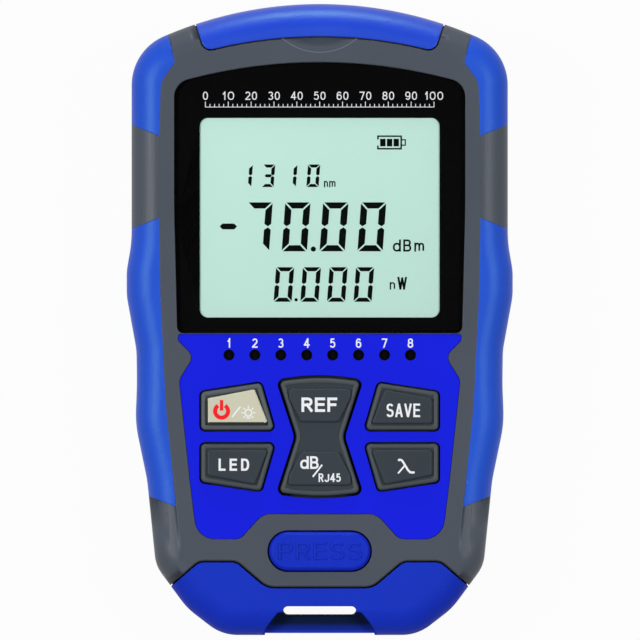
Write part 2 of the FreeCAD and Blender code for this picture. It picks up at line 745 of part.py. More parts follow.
def key_holes(low, high):
    """Openings for the five keys."""
    wires = []
    for side in (-1, 1):
        for row in (-1, 1):
            wire = rounded_wire(key_corners(side, row, 0, KEY_R))
            wires.append(wire.makeOffset2D(KEY_CLEARANCE))
    wires.append(rounded_wire(rocker_corners(0, KEY_R)).makeOffset2D(ROCKER_CLEARANCE))
    return [prism(wire, low, high) for wire in wires]


def key_windows(low, high):
    """Plain openings behind the panel: one for each key and one for the row of lamps."""
    wires = [rounded_wire(rocker_corners(0, 0)).makeOffset2D(ROCKER_CLEARANCE, 2)]
    for side in (-1, 1):
        for row in (-1, 1):
            wires.append(rounded_wire(key_corners(side, row, 0, 0)).makeOffset2D(KEY_CLEARANCE, 2))
    reach = lamp_places()[-1] + LAMP_HOLE_R
    lamps = block(-reach, reach, LAMP_Y - LAMP_HOLE_R, LAMP_Y + LAMP_HOLE_R, low, high)
    return [prism(wire, low, high) for wire in wires] + [lamps]


def lamp_places():
    """Distances of the indicator lamps from the middle."""
    return [(index - (LAMP_COUNT - 1) / 2) * LAMP_PITCH for index in range(LAMP_COUNT)]


def lamp_holes(low, high):
    """Openings for the indicator lamps."""
    return [post(x, LAMP_Y, LAMP_HOLE_R, low, high) for x in lamp_places()]


def lcd_box(grow, low, high):
    """Space of the liquid crystal glass."""
    half = WINDOW_HALF_WIDTH + LCD_MARGIN + grow
    return block(-half, half, WINDOW_BOTTOM_Y - LCD_MARGIN - grow,
                 WINDOW_TOP_Y + LCD_MARGIN + grow, low, high)


def button_space():
    """Stepped pocket of the release button, open towards the bay."""
    hole = stadium(BUTTON_LENGTH, BUTTON_WIDTH, BODY_GAP, GUIDE_TOP_Z, CASE_DEPTH + OVER, BUTTON_Y)
    step = BUTTON_BASE_Z + BUTTON_FLANGE_T + BODY_GAP
    room = stadium(BUTTON_LENGTH, BUTTON_WIDTH, BUTTON_FLANGE + 2 * BODY_GAP, SPLIT_Z, step, BUTTON_Y)
    return hole.fuse(room)


def front_shell(form, grips):
    """Grey front half with its display pocket, keypad pocket, brow and tail."""
    solid = form.common(block(-HALF_WIDTH - OVER, HALF_WIDTH + OVER, BOTTOM_Y - OVER, TOP_Y + OVER,
                              SPLIT_Z, CASE_DEPTH + OVER))
    room = cavity(TAIL_BLOCK_Y, SPLIT_Z - OVER, ROOF_Z)
    for x, y in screw_places():
        room = room.cut(post(x, y, SCREW_BOSS_R, SPLIT_Z - OVER, ROOF_Z))
    tools = list(grips)
    tools.append(room)
    tools.append(port_space())
    tools.append(scoop())
    tools.append(remote_region(BODY_GAP, -OVER, CASE_DEPTH + OVER))
    tools.append(bay())
    tools.append(button_space())
    tools.append(prism(lens_wire(SEAT_GAP), LENS_BASE_Z, CASE_DEPTH + OVER))
    tools.append(lcd_box(SEAT_GAP, ROOF_Z - OVER, CASE_DEPTH))
    tools.append(prism(panel_wire(SEAT_GAP), PANEL_BASE_Z, CASE_DEPTH + OVER))
    tools.extend(key_windows(ROOF_Z - OVER, CASE_DEPTH))
    for x, y in screw_places():
        tools.append(post(x, y, SCREW_R, SPLIT_Z - OVER, SCREW_RECESS + SCREW_HEAD_T + SCREW_LENGTH))
    return solid.cut(tools)


def rear_shell(form, grips):
    """Grey rear half with the battery tray, board posts, sill and hinge knuckle."""
    solid = form.common(block(-HALF_WIDTH - OVER, HALF_WIDTH + OVER, BOTTOM_Y - OVER, TOP_Y + OVER,
                              -OVER, SPLIT_Z))
    room = cavity(REAR_BLOCK_Y, WALL, SPLIT_Z + OVER)
    for x, y in screw_places():
        room = room.cut(post(x, y, SCREW_BOSS_R, WALL - OVER, SPLIT_Z + OVER))
    tools = list(grips)
    tools.append(room)
    tools.append(port_space())
    tools.append(remote_region(BODY_GAP, -OVER, CASE_DEPTH + OVER))
    tools.append(bay())
    tools.append(block(-DOOR_HALF_WIDTH, DOOR_HALF_WIDTH, DOOR_BOTTOM_Y, DOOR_TOP_Y, -OVER, DOOR_T))
    tools.append(block(-DOOR_HALF_WIDTH + DOOR_LEDGE, DOOR_HALF_WIDTH - DOOR_LEDGE,
                       DOOR_BOTTOM_Y + DOOR_LEDGE, CELL_TOP_Y + DOOR_END_PLAY, DOOR_T - OVER, WALL + OVER))
    for x, y in screw_places():
        tools.append(post(x, y, SCREW_R + SCREW_PLAY, -OVER, SPLIT_Z + OVER))
        tools.append(post(x, y, SCREW_HEAD_R + SCREW_HEAD_PLAY, -OVER, SCREW_RECESS + SCREW_HEAD_T))
    solid = solid.cut(tools).fuse(rear_shell_details()).removeSplitter()
    return solid.cut(post(0, DOOR_SCREW_Y, SCREW_R, 0, DOOR_T + DOOR_SCREW_DEPTH))


def rear_shell_details():
    """Tray walls, board posts, door screw boss and the middle knuckle of the hinge."""
    tray_end = CELL_TOP_Y + CONTACT_T + SEAT_GAP
    wall_top = CELL_BASE_Z + CELL_R + TRAY_RISE
    details = []
    for side in (-1, 1):
        low = min(side * TRAY_X, side * (TRAY_X + TRAY_WALL))
        details.append(block(low, low + TRAY_WALL, REAR_BLOCK_Y - ROOT, tray_end,
                             WALL - ROOT, wall_top))
        for y in (BOARD_TOP_Y - BOARD_POST_TOP_MARGIN, BOARD_BOTTOM_Y + BOARD_POST_BOTTOM_MARGIN):
            details.append(post(side * BOARD_POST_X, y, BOARD_POST_R, WALL - ROOT, BOARD_BASE_Z))
    details.append(block(-TRAY_X - TRAY_WALL, TRAY_X + TRAY_WALL, tray_end, tray_end + TRAY_WALL,
                         WALL - ROOT, CELL_BASE_Z + 2 * CELL_R))
    details.append(post(0, DOOR_SCREW_Y, DOOR_BOSS_R, WALL - ROOT, DOOR_T + DOOR_BOSS_RISE))
    web = block(-HINGE_KNUCKLE_HALF, HINGE_KNUCKLE_HALF, HINGE_Y - HINGE_WEB_HALF,
                HINGE_Y + HINGE_WEB_HALF, SILL_Z - ROOT, HINGE_Z)
    knuckle = rod_x(HINGE_Y, HINGE_Z, HINGE_KNUCKLE_R, -HINGE_KNUCKLE_HALF, HINGE_KNUCKLE_HALF)
    hole = rod_x(HINGE_Y, HINGE_Z, HINGE_PIN_R, -HALF_WIDTH, HALF_WIDTH)
    details.append(web.fuse(knuckle).cut(hole))
    return details[0].fuse(details[1:])


# Cover

def top_cover(form):
    """Hinged cap over the ports: lip, end wall, two cheeks and two knuckles."""
    low = HINGE_Z - HINGE_KNUCKLE_R - COVER_HEEL_GAP
    solid = form.common(cover_region(0, low, CASE_DEPTH + OVER))
    inner = case_prism(COVER_WALL, -OVER, CASE_DEPTH - COVER_WALL)
    side = COVER_HALF_WIDTH - COVER_WALL
    room = inner.common(block(-side, side, 0, TOP_Y + OVER, -OVER, CASE_DEPTH))
    cheek_cut = block(-HALF_WIDTH, HALF_WIDTH, 0, HINGE_Y - CHEEK_INSET, -OVER, HINGE_Z + CHEEK_RISE)
    barrel = rod_x(HINGE_Y, HINGE_Z, HINGE_KNUCKLE_R + BODY_GAP,
                   -HINGE_KNUCKLE_HALF - BODY_GAP, HINGE_KNUCKLE_HALF + BODY_GAP)
    notch = block(-HINGE_KNUCKLE_HALF - BODY_GAP, HINGE_KNUCKLE_HALF + BODY_GAP, HINGE_Y - KNUCKLE_NOTCH,
                  TOP_Y + OVER, 0, HINGE_Z + HINGE_KNUCKLE_R + BODY_GAP)
    corners = [sill_shoulder(side, BODY_GAP, HINGE_Z) for side in (-1, 1)]
    heel = block(-HALF_WIDTH, HALF_WIDTH, HINGE_Y, TOP_Y + OVER, 0, HINGE_Z)
    heel = heel.cut(rod_x(HINGE_Y, HINGE_Z, HINGE_INSET, -HALF_WIDTH, HALF_WIDTH))
    solid = solid.cut([room, cheek_cut, barrel, notch, heel] + corners)
    for side in (-1, 1):
        start = min(side * (HINGE_KNUCKLE_HALF + BODY_GAP), side * HINGE_HALF_LENGTH)
        length = HINGE_HALF_LENGTH - HINGE_KNUCKLE_HALF - BODY_GAP
        solid = solid.fuse(rod_x(HINGE_Y, HINGE_Z, HINGE_KNUCKLE_R, start, start + length))
    return solid.cut(rod_x(HINGE_Y, HINGE_Z, HINGE_PIN_R + PIN_CLEARANCE, -HALF_WIDTH, HALF_WIDTH))


def hinge_pin():
    """Steel pin of the cover."""
    return rod_x(HINGE_Y, HINGE_Z, HINGE_PIN_R, -HINGE_HALF_LENGTH, HINGE_HALF_LENGTH)


# Display

def display_lens():
    """Clear flat lens set into the face."""
    solid = prism(lens_wire(0), LENS_BASE_Z + MASK_T, LENS_TOP_Z)
    return solid.makeChamfer(LENS_CHAMFER, level_edges(solid, LENS_TOP_Z))


def lens_mask():
    """Black print behind the lens, open at the display window."""
    window = [(WINDOW_HALF_WIDTH, WINDOW_TOP_Y, WINDOW_R), (WINDOW_HALF_WIDTH, WINDOW_BOTTOM_Y, WINDOW_R)]
    opening = prism(rounded_wire(both_sides(window)), LENS_BASE_Z - OVER, LENS_TOP_Z)
    return prism(lens_wire(0), LENS_BASE_Z, LENS_BASE_Z + MASK_T).cut(opening)


def lcd_glass():
    """Liquid crystal glass behind the mask."""
    return lcd_box(0, LENS_BASE_Z - SEAT_GAP - LCD_T, LENS_BASE_Z - SEAT_GAP)


def lcd_backlight():
    """Light guide between the glass and the board."""
    return lcd_box(-BACKLIGHT_INSET, BOARD_TOP_Z, LENS_BASE_Z - SEAT_GAP - LCD_T)


def lcd_frame():
    """Plastic frame that holds the glass on the board."""
    outer = lcd_box(LCD_FRAME_T, BOARD_TOP_Z, ROOF_Z - SEAT_GAP)
    half = BOARD_HALF_WIDTH
    trim = block(-half, half, WINDOW_BOTTOM_Y - PAST, BOARD_TOP_Y + PAST, BOARD_TOP_Z, ROOF_Z)
    return outer.common(trim).cut(lcd_box(0, BOARD_TOP_Z - OVER, ROOF_Z + OVER))


# Keypad

def keypad_panel():
    """Thin blue panel round the keys and lamps."""
    solid = prism(panel_wire(0), PANEL_BASE_Z, PANEL_TOP_Z)
    tools = key_holes(PANEL_BASE_Z - OVER, CASE_DEPTH + OVER)
    tools.extend(lamp_holes(PANEL_BASE_Z - OVER, CASE_DEPTH + OVER))
    return solid.cut(tools)


def indicator_lights():
    """Row of light guides that stand on the board."""
    rods = [post(x, LAMP_Y, LAMP_HOLE_R - SEAT_GAP, BOARD_TOP_Z, PANEL_BASE_Z) for x in lamp_places()]
    return Part.makeCompound(rods)


def outer_key(side, row, face_top):
    """Flange, rim and raised face of one outer key, with its plunger."""
    flange_wire = rounded_wire(key_corners(side, row, 0, 0)).makeOffset2D(KEY_FLANGE, 2)
    flange = prism(flange_wire, FLANGE_BASE_Z, FLANGE_TOP_Z)
    rim = prism(rounded_wire(key_corners(side, row, 0, KEY_R)), FLANGE_BASE_Z, RIM_TOP_Z)
    rim = rim.makeChamfer(KEY_EDGE, level_edges(rim, RIM_TOP_Z))
    face = prism(key_face_wire(side, row), RIM_TOP_Z - FACE_ROOT, face_top)
    face = face.makeChamfer(KEY_EDGE, level_edges(face, face_top))
    x, y = key_centre(side, row)
    plunger = post(x, y, PLUNGER_R, PLUNGER_BASE_Z, FLANGE_BASE_Z + FACE_ROOT)
    return flange.fuse([rim, face, plunger])


def key_face_wire(side, row):
    """Outline of the raised face of an outer key."""
    return rounded_wire(key_corners(side, row, -KEY_BEZEL, KEY_FACE_R))


def key_centre(side, row):
    """Middle of an outer key."""
    x = (KEY_INNER_X + KEY_OUTER_X) / 2 + PLUNGER_OUT
    y = (KEY_NEAR + KEY_FAR_OUTER + PLUNGER_FAR) / 2
    return side * x, KEY_ROW_Y + row * y


def power_key():
    """Grey rim of the power key, with a seat for its pale cap."""
    solid = outer_key(-1, 1, RIM_TOP_Z + 2 * KEY_EDGE)
    seat = prism(key_face_wire(-1, 1), RIM_TOP_Z - FACE_ROOT, CASE_DEPTH + 3 * OVER)
    return solid.cut(seat)


def power_key_cap():
    """Pale cap of the power key."""
    cap = prism(key_face_wire(-1, 1), RIM_TOP_Z - FACE_ROOT, FACE_TOP_Z)
    return cap.makeChamfer(KEY_EDGE, level_edges(cap, FACE_TOP_Z))


def rocker_face(row):
    """Outline of a raised pad on the middle key."""
    wide = ROCKER_HALF_TOP - PAD_SIDE_MARGIN
    narrow = ROCKER_HALF_WAIST - PAD_WAIST_MARGIN
    far = ROCKER_REACH - PAD_END_MARGIN
    corners = [(wide, far), (wide, far - PAD_STRAIGHT), (narrow, PAD_NEAR)]
    right = [(x, KEY_ROW_Y + row * y, PAD_R) for x, y in corners]
    return rounded_wire(both_sides(right))


def centre_key():
    """Waisted rocker key with a raised pad at each end, carried on a ridge at its middle."""
    base = FLANGE_BASE_Z - ROCKER_DROP
    flange_wire = rounded_wire(rocker_corners(0, 0)).makeOffset2D(KEY_FLANGE, 2)
    flange = prism(flange_wire, base, base + KEY_FLANGE_T)
    rim = prism(rounded_wire(rocker_corners(0, KEY_R)), base, RIM_TOP_Z)
    rim = rim.makeChamfer(KEY_EDGE, level_edges(rim, RIM_TOP_Z))
    solids = [rim]
    for row in (-1, 1):
        face = prism(rocker_face(row), RIM_TOP_Z - FACE_ROOT, FACE_TOP_Z)
        solids.append(face.makeChamfer(KEY_EDGE, level_edges(face, FACE_TOP_Z)))
        solids.append(post(0, KEY_ROW_Y + row * ROCKER_DOME_Y, PLUNGER_R, PLUNGER_BASE_Z, base + FACE_ROOT))
    half = ROCKER_RIDGE_HALF
    ridge_z = BOARD_TOP_Z + ROCKER_RIDGE_RISE
    solids.append(rod_x(KEY_ROW_Y, ridge_z, ROCKER_RIDGE_R, -half, half))
    solids.append(block(-half, half, KEY_ROW_Y - ROCKER_RIDGE_R, KEY_ROW_Y + ROCKER_RIDGE_R,
                        ridge_z, base + FACE_ROOT))
    return flange.fuse(solids)


def key_dome(x, y):
    """Snap dome on the board."""
    return Part.makeCone(DOME_R, DOME_TOP_R, DOME_T, Vector(x, y, BOARD_TOP_Z))


# Inside

def main_board():
    """Circuit board that carries the display, domes and lamps."""
    wire = rounded_wire(both_sides([(BOARD_HALF_WIDTH, BOARD_TOP_Y, BOARD_CORNER_R),
                                    (BOARD_HALF_WIDTH, BOARD_BOTTOM_Y, BOARD_CORNER_R)]))
    return prism(wire, BOARD_BASE_Z, BOARD_TOP_Z)


def battery_cell(index):
    """One AA cell with its raised positive end."""
    x = (index - (CELL_COUNT - 1) / 2) * CELL_PITCH
    z = CELL_BASE_Z + CELL_R
    can = rod_y(x, z, CELL_R, CELL_BOTTOM_Y, CELL_BOTTOM_Y + CELL_LENGTH)
    nub = rod_y(x, z, CELL_NUB_R, CELL_BOTTOM_Y + CELL_LENGTH - ROOT,
                CELL_BOTTOM_Y + CELL_LENGTH + CELL_NUB_T)
    return can.fuse(nub)


def battery_contacts():
    """Contact plates at both ends of the cells, with a pressed spring leaf for each cell."""
    plates = []
    z = CELL_BASE_Z + CELL_R
    top_y = CELL_TOP_Y + SEAT_GAP
    half = CONTACT_SIZE / 2
    for index in range(CELL_COUNT):
        x = (index - (CELL_COUNT - 1) / 2) * CELL_PITCH
        plates.append(block(x - half, x + half, top_y, top_y + CONTACT_T, z - half, z + half))
        plates.append(contact_leaf(x, z))
    return Part.makeCompound(plates)


def contact_leaf(x, z):
    """Contact plate at the flat end of a cell, bent forward to a blunt ridge."""
    half = CONTACT_SIZE / 2
    back = REAR_BLOCK_Y
    tip = CELL_BOTTOM_Y - SEAT_GAP
    rise = CONTACT_LEAF_WIDTH / 4
    outline = [(back, z - half), (back + CONTACT_T, z - half), (tip, z - rise), (tip, z + rise),
               (back + CONTACT_T, z + half), (back, z + half)]
    points = [Vector(x - CONTACT_LEAF_WIDTH / 2, y, height) for y, height in outline]
    face = Part.Face(Part.makePolygon(points + [points[0]]))
    return face.extrude(Vector(CONTACT_LEAF_WIDTH, 0, 0))


def battery_door():
    """Door in the back with cradle ribs for the cells and a tongue for its screw."""
    half = DOOR_HALF_WIDTH - DOOR_GAP
    corners = both_sides([(half, DOOR_TOP_Y - DOOR_GAP, DOOR_CORNER_R),
                          (half, DOOR_BOTTOM_Y + DOOR_GAP, DOOR_CORNER_R)])
    solid = prism(rounded_wire(corners), 0, DOOR_T)
    ribs = []
    inner = half - DOOR_LEDGE - CRADLE_SIDE_GAP
    for y in (CELL_BOTTOM_Y + CRADLE_INSET, CELL_BOTTOM_Y + CELL_LENGTH - CRADLE_INSET):
        ribs.append(block(-inner, inner, y, y + CRADLE_WIDTH, DOOR_T - ROOT, CELL_BASE_Z - CRADLE_GAP))
    hole = post(0, DOOR_SCREW_Y, SCREW_R + SCREW_PLAY, -OVER, DOOR_T + OVER)
    sink = post(0, DOOR_SCREW_Y, SCREW_HEAD_R + DOOR_SINK_PLAY, -OVER, DOOR_SINK_DEPTH)
    grooves = []
    for index in range(DOOR_GROOVES):
        y = DOOR_BOTTOM_Y + DOOR_GROOVE_RISE + DOOR_GROOVE_PITCH * index
        grooves.append(block(-DOOR_GROOVE_HALF, DOOR_GROOVE_HALF, y, y + DOOR_GROOVE_WIDTH, -OVER,
                             DOOR_GROOVE_DEPTH))
    return solid.fuse(ribs).cut([hole, sink] + grooves)


def screw(x, y, head_z, head_t, length):
    """Pan-head screw from the back."""
    head = post(x, y, SCREW_HEAD_R, head_z, head_z + head_t)
    shank = post(x, y, SCREW_R, head_z + head_t, head_z + head_t + length)
    return head.fuse(shank)


def case_screws():
    """The four screws that close the case."""
    length = SCREW_LENGTH - SCREW_POINT_GAP
    screws = [screw(x, y, SCREW_RECESS, SCREW_HEAD_T, length) for x, y in screw_places()]
    return Part.makeCompound(screws)


# Ports

def port_openings():
    """Holes in the port plate."""
    half = JACK_WIDTH / 2 + SEAT_GAP
    tall = JACK_HEIGHT / 2 + SEAT_GAP
    low = DECK_Y - PORT_PLATE_T - OVER
    return [block(NETWORK_JACK_X - half, NETWORK_JACK_X + half, low, DECK_Y + OVER,
                  NETWORK_JACK_Z - tall, NETWORK_JACK_Z + tall),
            rod_y(OPTICAL_X, PORT_Z, OPTICAL_BARREL_R - PORT_STEM_INSET, low, DECK_Y + OVER),
            rod_y(LASER_X, PORT_Z, LASER_BARREL_R - PORT_STEM_INSET, low, DECK_Y + OVER),
            rod_y(TORCH_X, TORCH_Z, TORCH_R, low, DECK_Y + OVER)]


def port_plate():
    """Plate that closes the end of the case and carries the ports."""
    plate = block(-DECK_HALF, DECK_HALF, DECK_Y - PORT_PLATE_T, DECK_Y, SILL_Z, CASE_DEPTH - BROW_T)
    return plate.cut(port_openings())


def optical_adapter():
    """Metal input adapter with a flange, a barrel and a key slot."""
    flange = rod_y(OPTICAL_X, PORT_Z, OPTICAL_FLANGE_R, DECK_Y, DECK_Y + PORT_FLANGE_T)
    barrel = rod_y(OPTICAL_X, PORT_Z, OPTICAL_BARREL_R, DECK_Y, DECK_Y + OPTICAL_LENGTH)
    stem = rod_y(OPTICAL_X, PORT_Z, OPTICAL_BARREL_R - PORT_STEM_INSET,
                 DECK_Y - PORT_PLATE_T - PORT_STEM_BACK, DECK_Y)
    bore = rod_y(OPTICAL_X, PORT_Z, FERRULE_R + SLEEVE_WALL, DECK_Y - PAST, DECK_Y + PAST)
    mouth = rod_y(OPTICAL_X, PORT_Z, OPTICAL_BARREL_R - MOUTH_WALL,
                  DECK_Y + OPTICAL_LENGTH - MOUTH_DEPTH, DECK_Y + PAST)
    key = block(OPTICAL_X - KEYWAY_HALF, OPTICAL_X + KEYWAY_HALF,
                DECK_Y + OPTICAL_LENGTH - KEYWAY_DEPTH, DECK_Y + PAST, PORT_Z, PORT_Z + OPTICAL_FLANGE_R)
    return flange.fuse([barrel, stem]).cut([bore, mouth, key])


def adapter_sleeve():
    """Ceramic sleeve that takes the ferrule."""
    end = DECK_Y + OPTICAL_LENGTH - SLEEVE_INSET
    outer = rod_y(OPTICAL_X, PORT_Z, FERRULE_R + SLEEVE_WALL, end - SLEEVE_LENGTH, end)
    return outer.cut(rod_y(OPTICAL_X, PORT_Z, FERRULE_R, end - SLEEVE_LENGTH + SLEEVE_FLOOR, end + OVER))


def detector_module():
    """Detector housing behind the optical adapter."""
    back = DECK_Y - PORT_PLATE_T
    can = rod_y(OPTICAL_X, PORT_Z, DETECTOR_R, back - DETECTOR_LENGTH, back)
    return can.cut(rod_y(OPTICAL_X, PORT_Z, OPTICAL_BARREL_R - PORT_STEM_INSET,
                         back - DETECTOR_SOCKET, back + OVER))


def laser_port():
    """Visible fault locator port with its 2.5 mm bore."""
    flange = rod_y(LASER_X, PORT_Z, LASER_FLANGE_R, DECK_Y, DECK_Y + PORT_FLANGE_T)
    barrel = rod_y(LASER_X, PORT_Z, LASER_BARREL_R, DECK_Y, DECK_Y + LASER_LENGTH)
    stem = rod_y(LASER_X, PORT_Z, LASER_BARREL_R - PORT_STEM_INSET,
                 DECK_Y - PORT_PLATE_T - PORT_STEM_BACK, DECK_Y)
    bore = rod_y(LASER_X, PORT_Z, FERRULE_R, DECK_Y - PORT_PLATE_T, DECK_Y + PAST)
    return flange.fuse([barrel, stem]).cut(bore)


def laser_module():
    """Laser diode housing behind its port."""
    back = DECK_Y - PORT_PLATE_T
    can = rod_y(LASER_X, PORT_Z, LASER_CAN_R, back - LASER_CAN_LENGTH, back)
    return can.cut(rod_y(LASER_X, PORT_Z, LASER_BARREL_R - PORT_STEM_INSET,
                         back - PORT_STEM_BACK, back + OVER))


def torch_led():
    """Torch lamp with its blunt end."""
    back = DECK_Y - PORT_PLATE_T
    start = DECK_Y + TORCH_PROUD - TORCH_CHAMFER
    body = rod_y(TORCH_X, TORCH_Z, TORCH_R, back - TORCH_TAIL, start)
    tip = Part.makeCone(TORCH_R, TORCH_R - TORCH_CHAMFER, TORCH_CHAMFER, Vector(TORCH_X, start, TORCH_Z),
                        Vector(0, 1, 0))
    collar = rod_y(TORCH_X, TORCH_Z, TORCH_R + TORCH_COLLAR, back - TORCH_COLLAR_T, back)
    return body.fuse([tip, collar])


def jack(front_y, x, z):
    """Housing of a modular network socket that opens towards +Y."""
    half = JACK_WIDTH / 2
    tall = JACK_HEIGHT / 2
    housing = block(x - half, x + half, front_y - JACK_DEPTH, front_y, z - tall, z + tall)
    mouth_half = JACK_MOUTH_WIDTH / 2
    floor = z - tall + JACK_FLOOR_T
    mouth = block(x - mouth_half, x + mouth_half, front_y - JACK_MOUTH_DEPTH, front_y + OVER,
                  floor, floor + JACK_MOUTH_HEIGHT)
    key = block(x - JACK_KEY_WIDTH / 2, x + JACK_KEY_WIDTH / 2, front_y - JACK_MOUTH_DEPTH, front_y + OVER,
                floor - JACK_KEY_HEIGHT, floor + ROOT)
    return housing.cut([mouth, key])


def jack_contacts(front_y, x, z):
    """Row of sprung contacts that slope down into the socket."""
    ceiling = z - JACK_HEIGHT / 2 + JACK_FLOOR_T + JACK_MOUTH_HEIGHT
    back = front_y - JACK_MOUTH_DEPTH
    contacts = []
    for index in range(JACK_PINS):
        centre = x + (index - (JACK_PINS - 1) / 2) * JACK_PIN_PITCH
        outline = [(0, JACK_PIN_DROP), (JACK_PIN_REACH, 0), (JACK_PIN_REACH + JACK_PIN_TIP, 0),
                   (0, JACK_PIN_DROP + JACK_PIN_T)]
        corners = [Vector(centre - JACK_PIN_HALF, back + reach, ceiling - drop) for reach, drop in outline]
        wire = Part.makePolygon(corners + [corners[0]])
        contacts.append(Part.Face(wire).extrude(Vector(2 * JACK_PIN_HALF, 0, 0)))
    return Part.makeCompound(contacts)


# Release button and remote

def release_button():
    """Long button with a captive flange and a stem that reaches the latch."""
    top = CASE_DEPTH + BUTTON_PROUD
    cap = stadium(BUTTON_LENGTH, BUTTON_WIDTH, 0, BUTTON_BASE_Z, top, BUTTON_Y)
    cap = cap.makeChamfer(BUTTON_EDGE, level_edges(cap, top))
    flange = stadium(BUTTON_LENGTH, BUTTON_WIDTH, BUTTON_FLANGE, BUTTON_BASE_Z,
                     BUTTON_BASE_Z + BUTTON_FLANGE_T, BUTTON_Y)
    stem = post(0, BUTTON_Y, BUTTON_STEM_R, BAY_TOP_Z + BODY_GAP, BUTTON_BASE_Z + ROOT)
    return cap.fuse([flange, stem])


def button_guide():
    """Shelf under the button that guides its stem and stops the latch hook."""
    plate = stadium(BUTTON_LENGTH, BUTTON_WIDTH, BUTTON_FLANGE + 2 * BODY_GAP, BAY_TOP_Z,
                    GUIDE_TOP_Z, BUTTON_Y)
    half = LATCH_HALF_WIDTH + LATCH_SIDE_PLAY
    slot = block(-half, half, BUTTON_Y + GUIDE_SLOT_NEAR, BUTTON_Y + GUIDE_SLOT_FAR,
                 BAY_TOP_Z - OVER, GUIDE_TOP_Z + OVER)
    hole = post(0, BUTTON_Y, BUTTON_STEM_R + BODY_GAP, BAY_TOP_Z - OVER, GUIDE_TOP_Z + OVER)
    return plate.cut([hole, slot])


def release_spring():
    """Coil spring between the shelf and the button."""
    low = GUIDE_TOP_Z + SPRING_WIRE_R + SPRING_END_GAP
    height = SPRING_ROOM - 2 * (SPRING_WIRE_R + SPRING_END_GAP)
    count = int(SPRING_TURNS * SPRING_STEPS)
    rings = []
    for step in range(count + 1):
        turn = 2 * math.pi * step / SPRING_STEPS
        ring = []
        for corner in range(SPRING_WIRE_SIDES):
            angle = 2 * math.pi * corner / SPRING_WIRE_SIDES
            radius = SPRING_R + SPRING_WIRE_R * math.cos(angle)
            z = low + height * step / count + SPRING_WIRE_R * math.sin(angle)
            ring.append(Vector(radius * math.cos(turn), BUTTON_Y + radius * math.sin(turn), z))
        rings.append(ring)
    return triangle_solid(rings)


def latch_arm():
    """Springy arm of the remote whose hook stands in the shelf's slot."""
    root = REMOTE_SEAM_Y - LATCH_ROOT
    tip = BUTTON_Y + LATCH_TIP
    arm = block(-LATCH_HALF_WIDTH, LATCH_HALF_WIDTH, root, tip, TONGUE_TOP_Z, TONGUE_TOP_Z + LATCH_T)
    hook = block(-LATCH_HALF_WIDTH, LATCH_HALF_WIDTH, tip - LATCH_HOOK_T, tip,
                 TONGUE_TOP_Z, GUIDE_TOP_Z - LATCH_HOOK_GAP)
    return arm.fuse(hook)


def strap_recess(low, high):
    """Step that lets the strap bar lie below the faces of the remote."""
    half = STRAP_SLOT_LENGTH / 2
    tip = half + HORN_SETBACK
    steps = (STRAP_SHOULDER, STRAP_FLANK)
    right = [(half + past, STRAP_SLOT_Y - drop, radius) for past, drop, radius in steps]
    right += [(tip, BOTTOM_Y + HORN_TIP_R, HORN_R), (tip + HORN_TIP_R, BOTTOM_Y - OVER, 0)]
    return prism(rounded_wire(both_sides(right)), low, high)


def remote_form(form):
    """Whole outside of the remote with its strap slot."""
    solid = form.common(remote_region(0, -OVER, CASE_DEPTH + OVER))
    slot = stadium(STRAP_SLOT_LENGTH, STRAP_SLOT_WIDTH, 0, -OVER, CASE_DEPTH + OVER, STRAP_SLOT_Y)
    half = STRAP_SLOT_LENGTH / 2 + HORN_SETBACK
    short = block(-half, half, BOTTOM_Y - OVER, BOTTOM_Y + STRAP_BAR_SHORT, -OVER, CASE_DEPTH + OVER)
    return solid.cut([slot, strap_recess(CASE_DEPTH - STRAP_BAR_SINK, CASE_DEPTH + OVER),
                      strap_recess(-OVER, STRAP_BAR_SINK), short, tongue_block()])


def tongue_block():
    """Outside of the tongue."""
    return block(-TONGUE_HALF_WIDTH, TONGUE_HALF_WIDTH, STRAP_SLOT_Y + TONGUE_START, TONGUE_END_Y,
                 TONGUE_BASE_Z, TONGUE_TOP_Z)


def remote_half(form, front):
    """Front or rear moulding of the remote."""
    low, high = (SPLIT_Z, CASE_DEPTH + OVER) if front else (-OVER, SPLIT_Z)
    half = remote_form(form).common(block(-HALF_WIDTH, HALF_WIDTH, BOTTOM_Y - OVER, 0, low, high))
    if front:
        side = LATCH_HALF_WIDTH + LATCH_GAP
        arm_room = block(-side, side, REMOTE_SEAM_Y - LATCH_ROOT, 0, TONGUE_TOP_Z,
                         TONGUE_TOP_Z + LATCH_T + LATCH_GAP)
        half = half.cut(arm_room)
    return half


def jack_z():
    """Height of the middle of the remote's socket."""
    return TONGUE_BASE_Z + (TONGUE_TOP_Z - TONGUE_BASE_Z) / 2


def remote_carrier():
    """Tongue of the remote: a sleeve round its socket."""
    half = JACK_WIDTH / 2
    tall = JACK_HEIGHT / 2
    room = block(-half, half, TONGUE_END_Y - JACK_DEPTH, TONGUE_END_Y + OVER,
                 jack_z() - tall, jack_z() + tall)
    return tongue_block().cut(room)


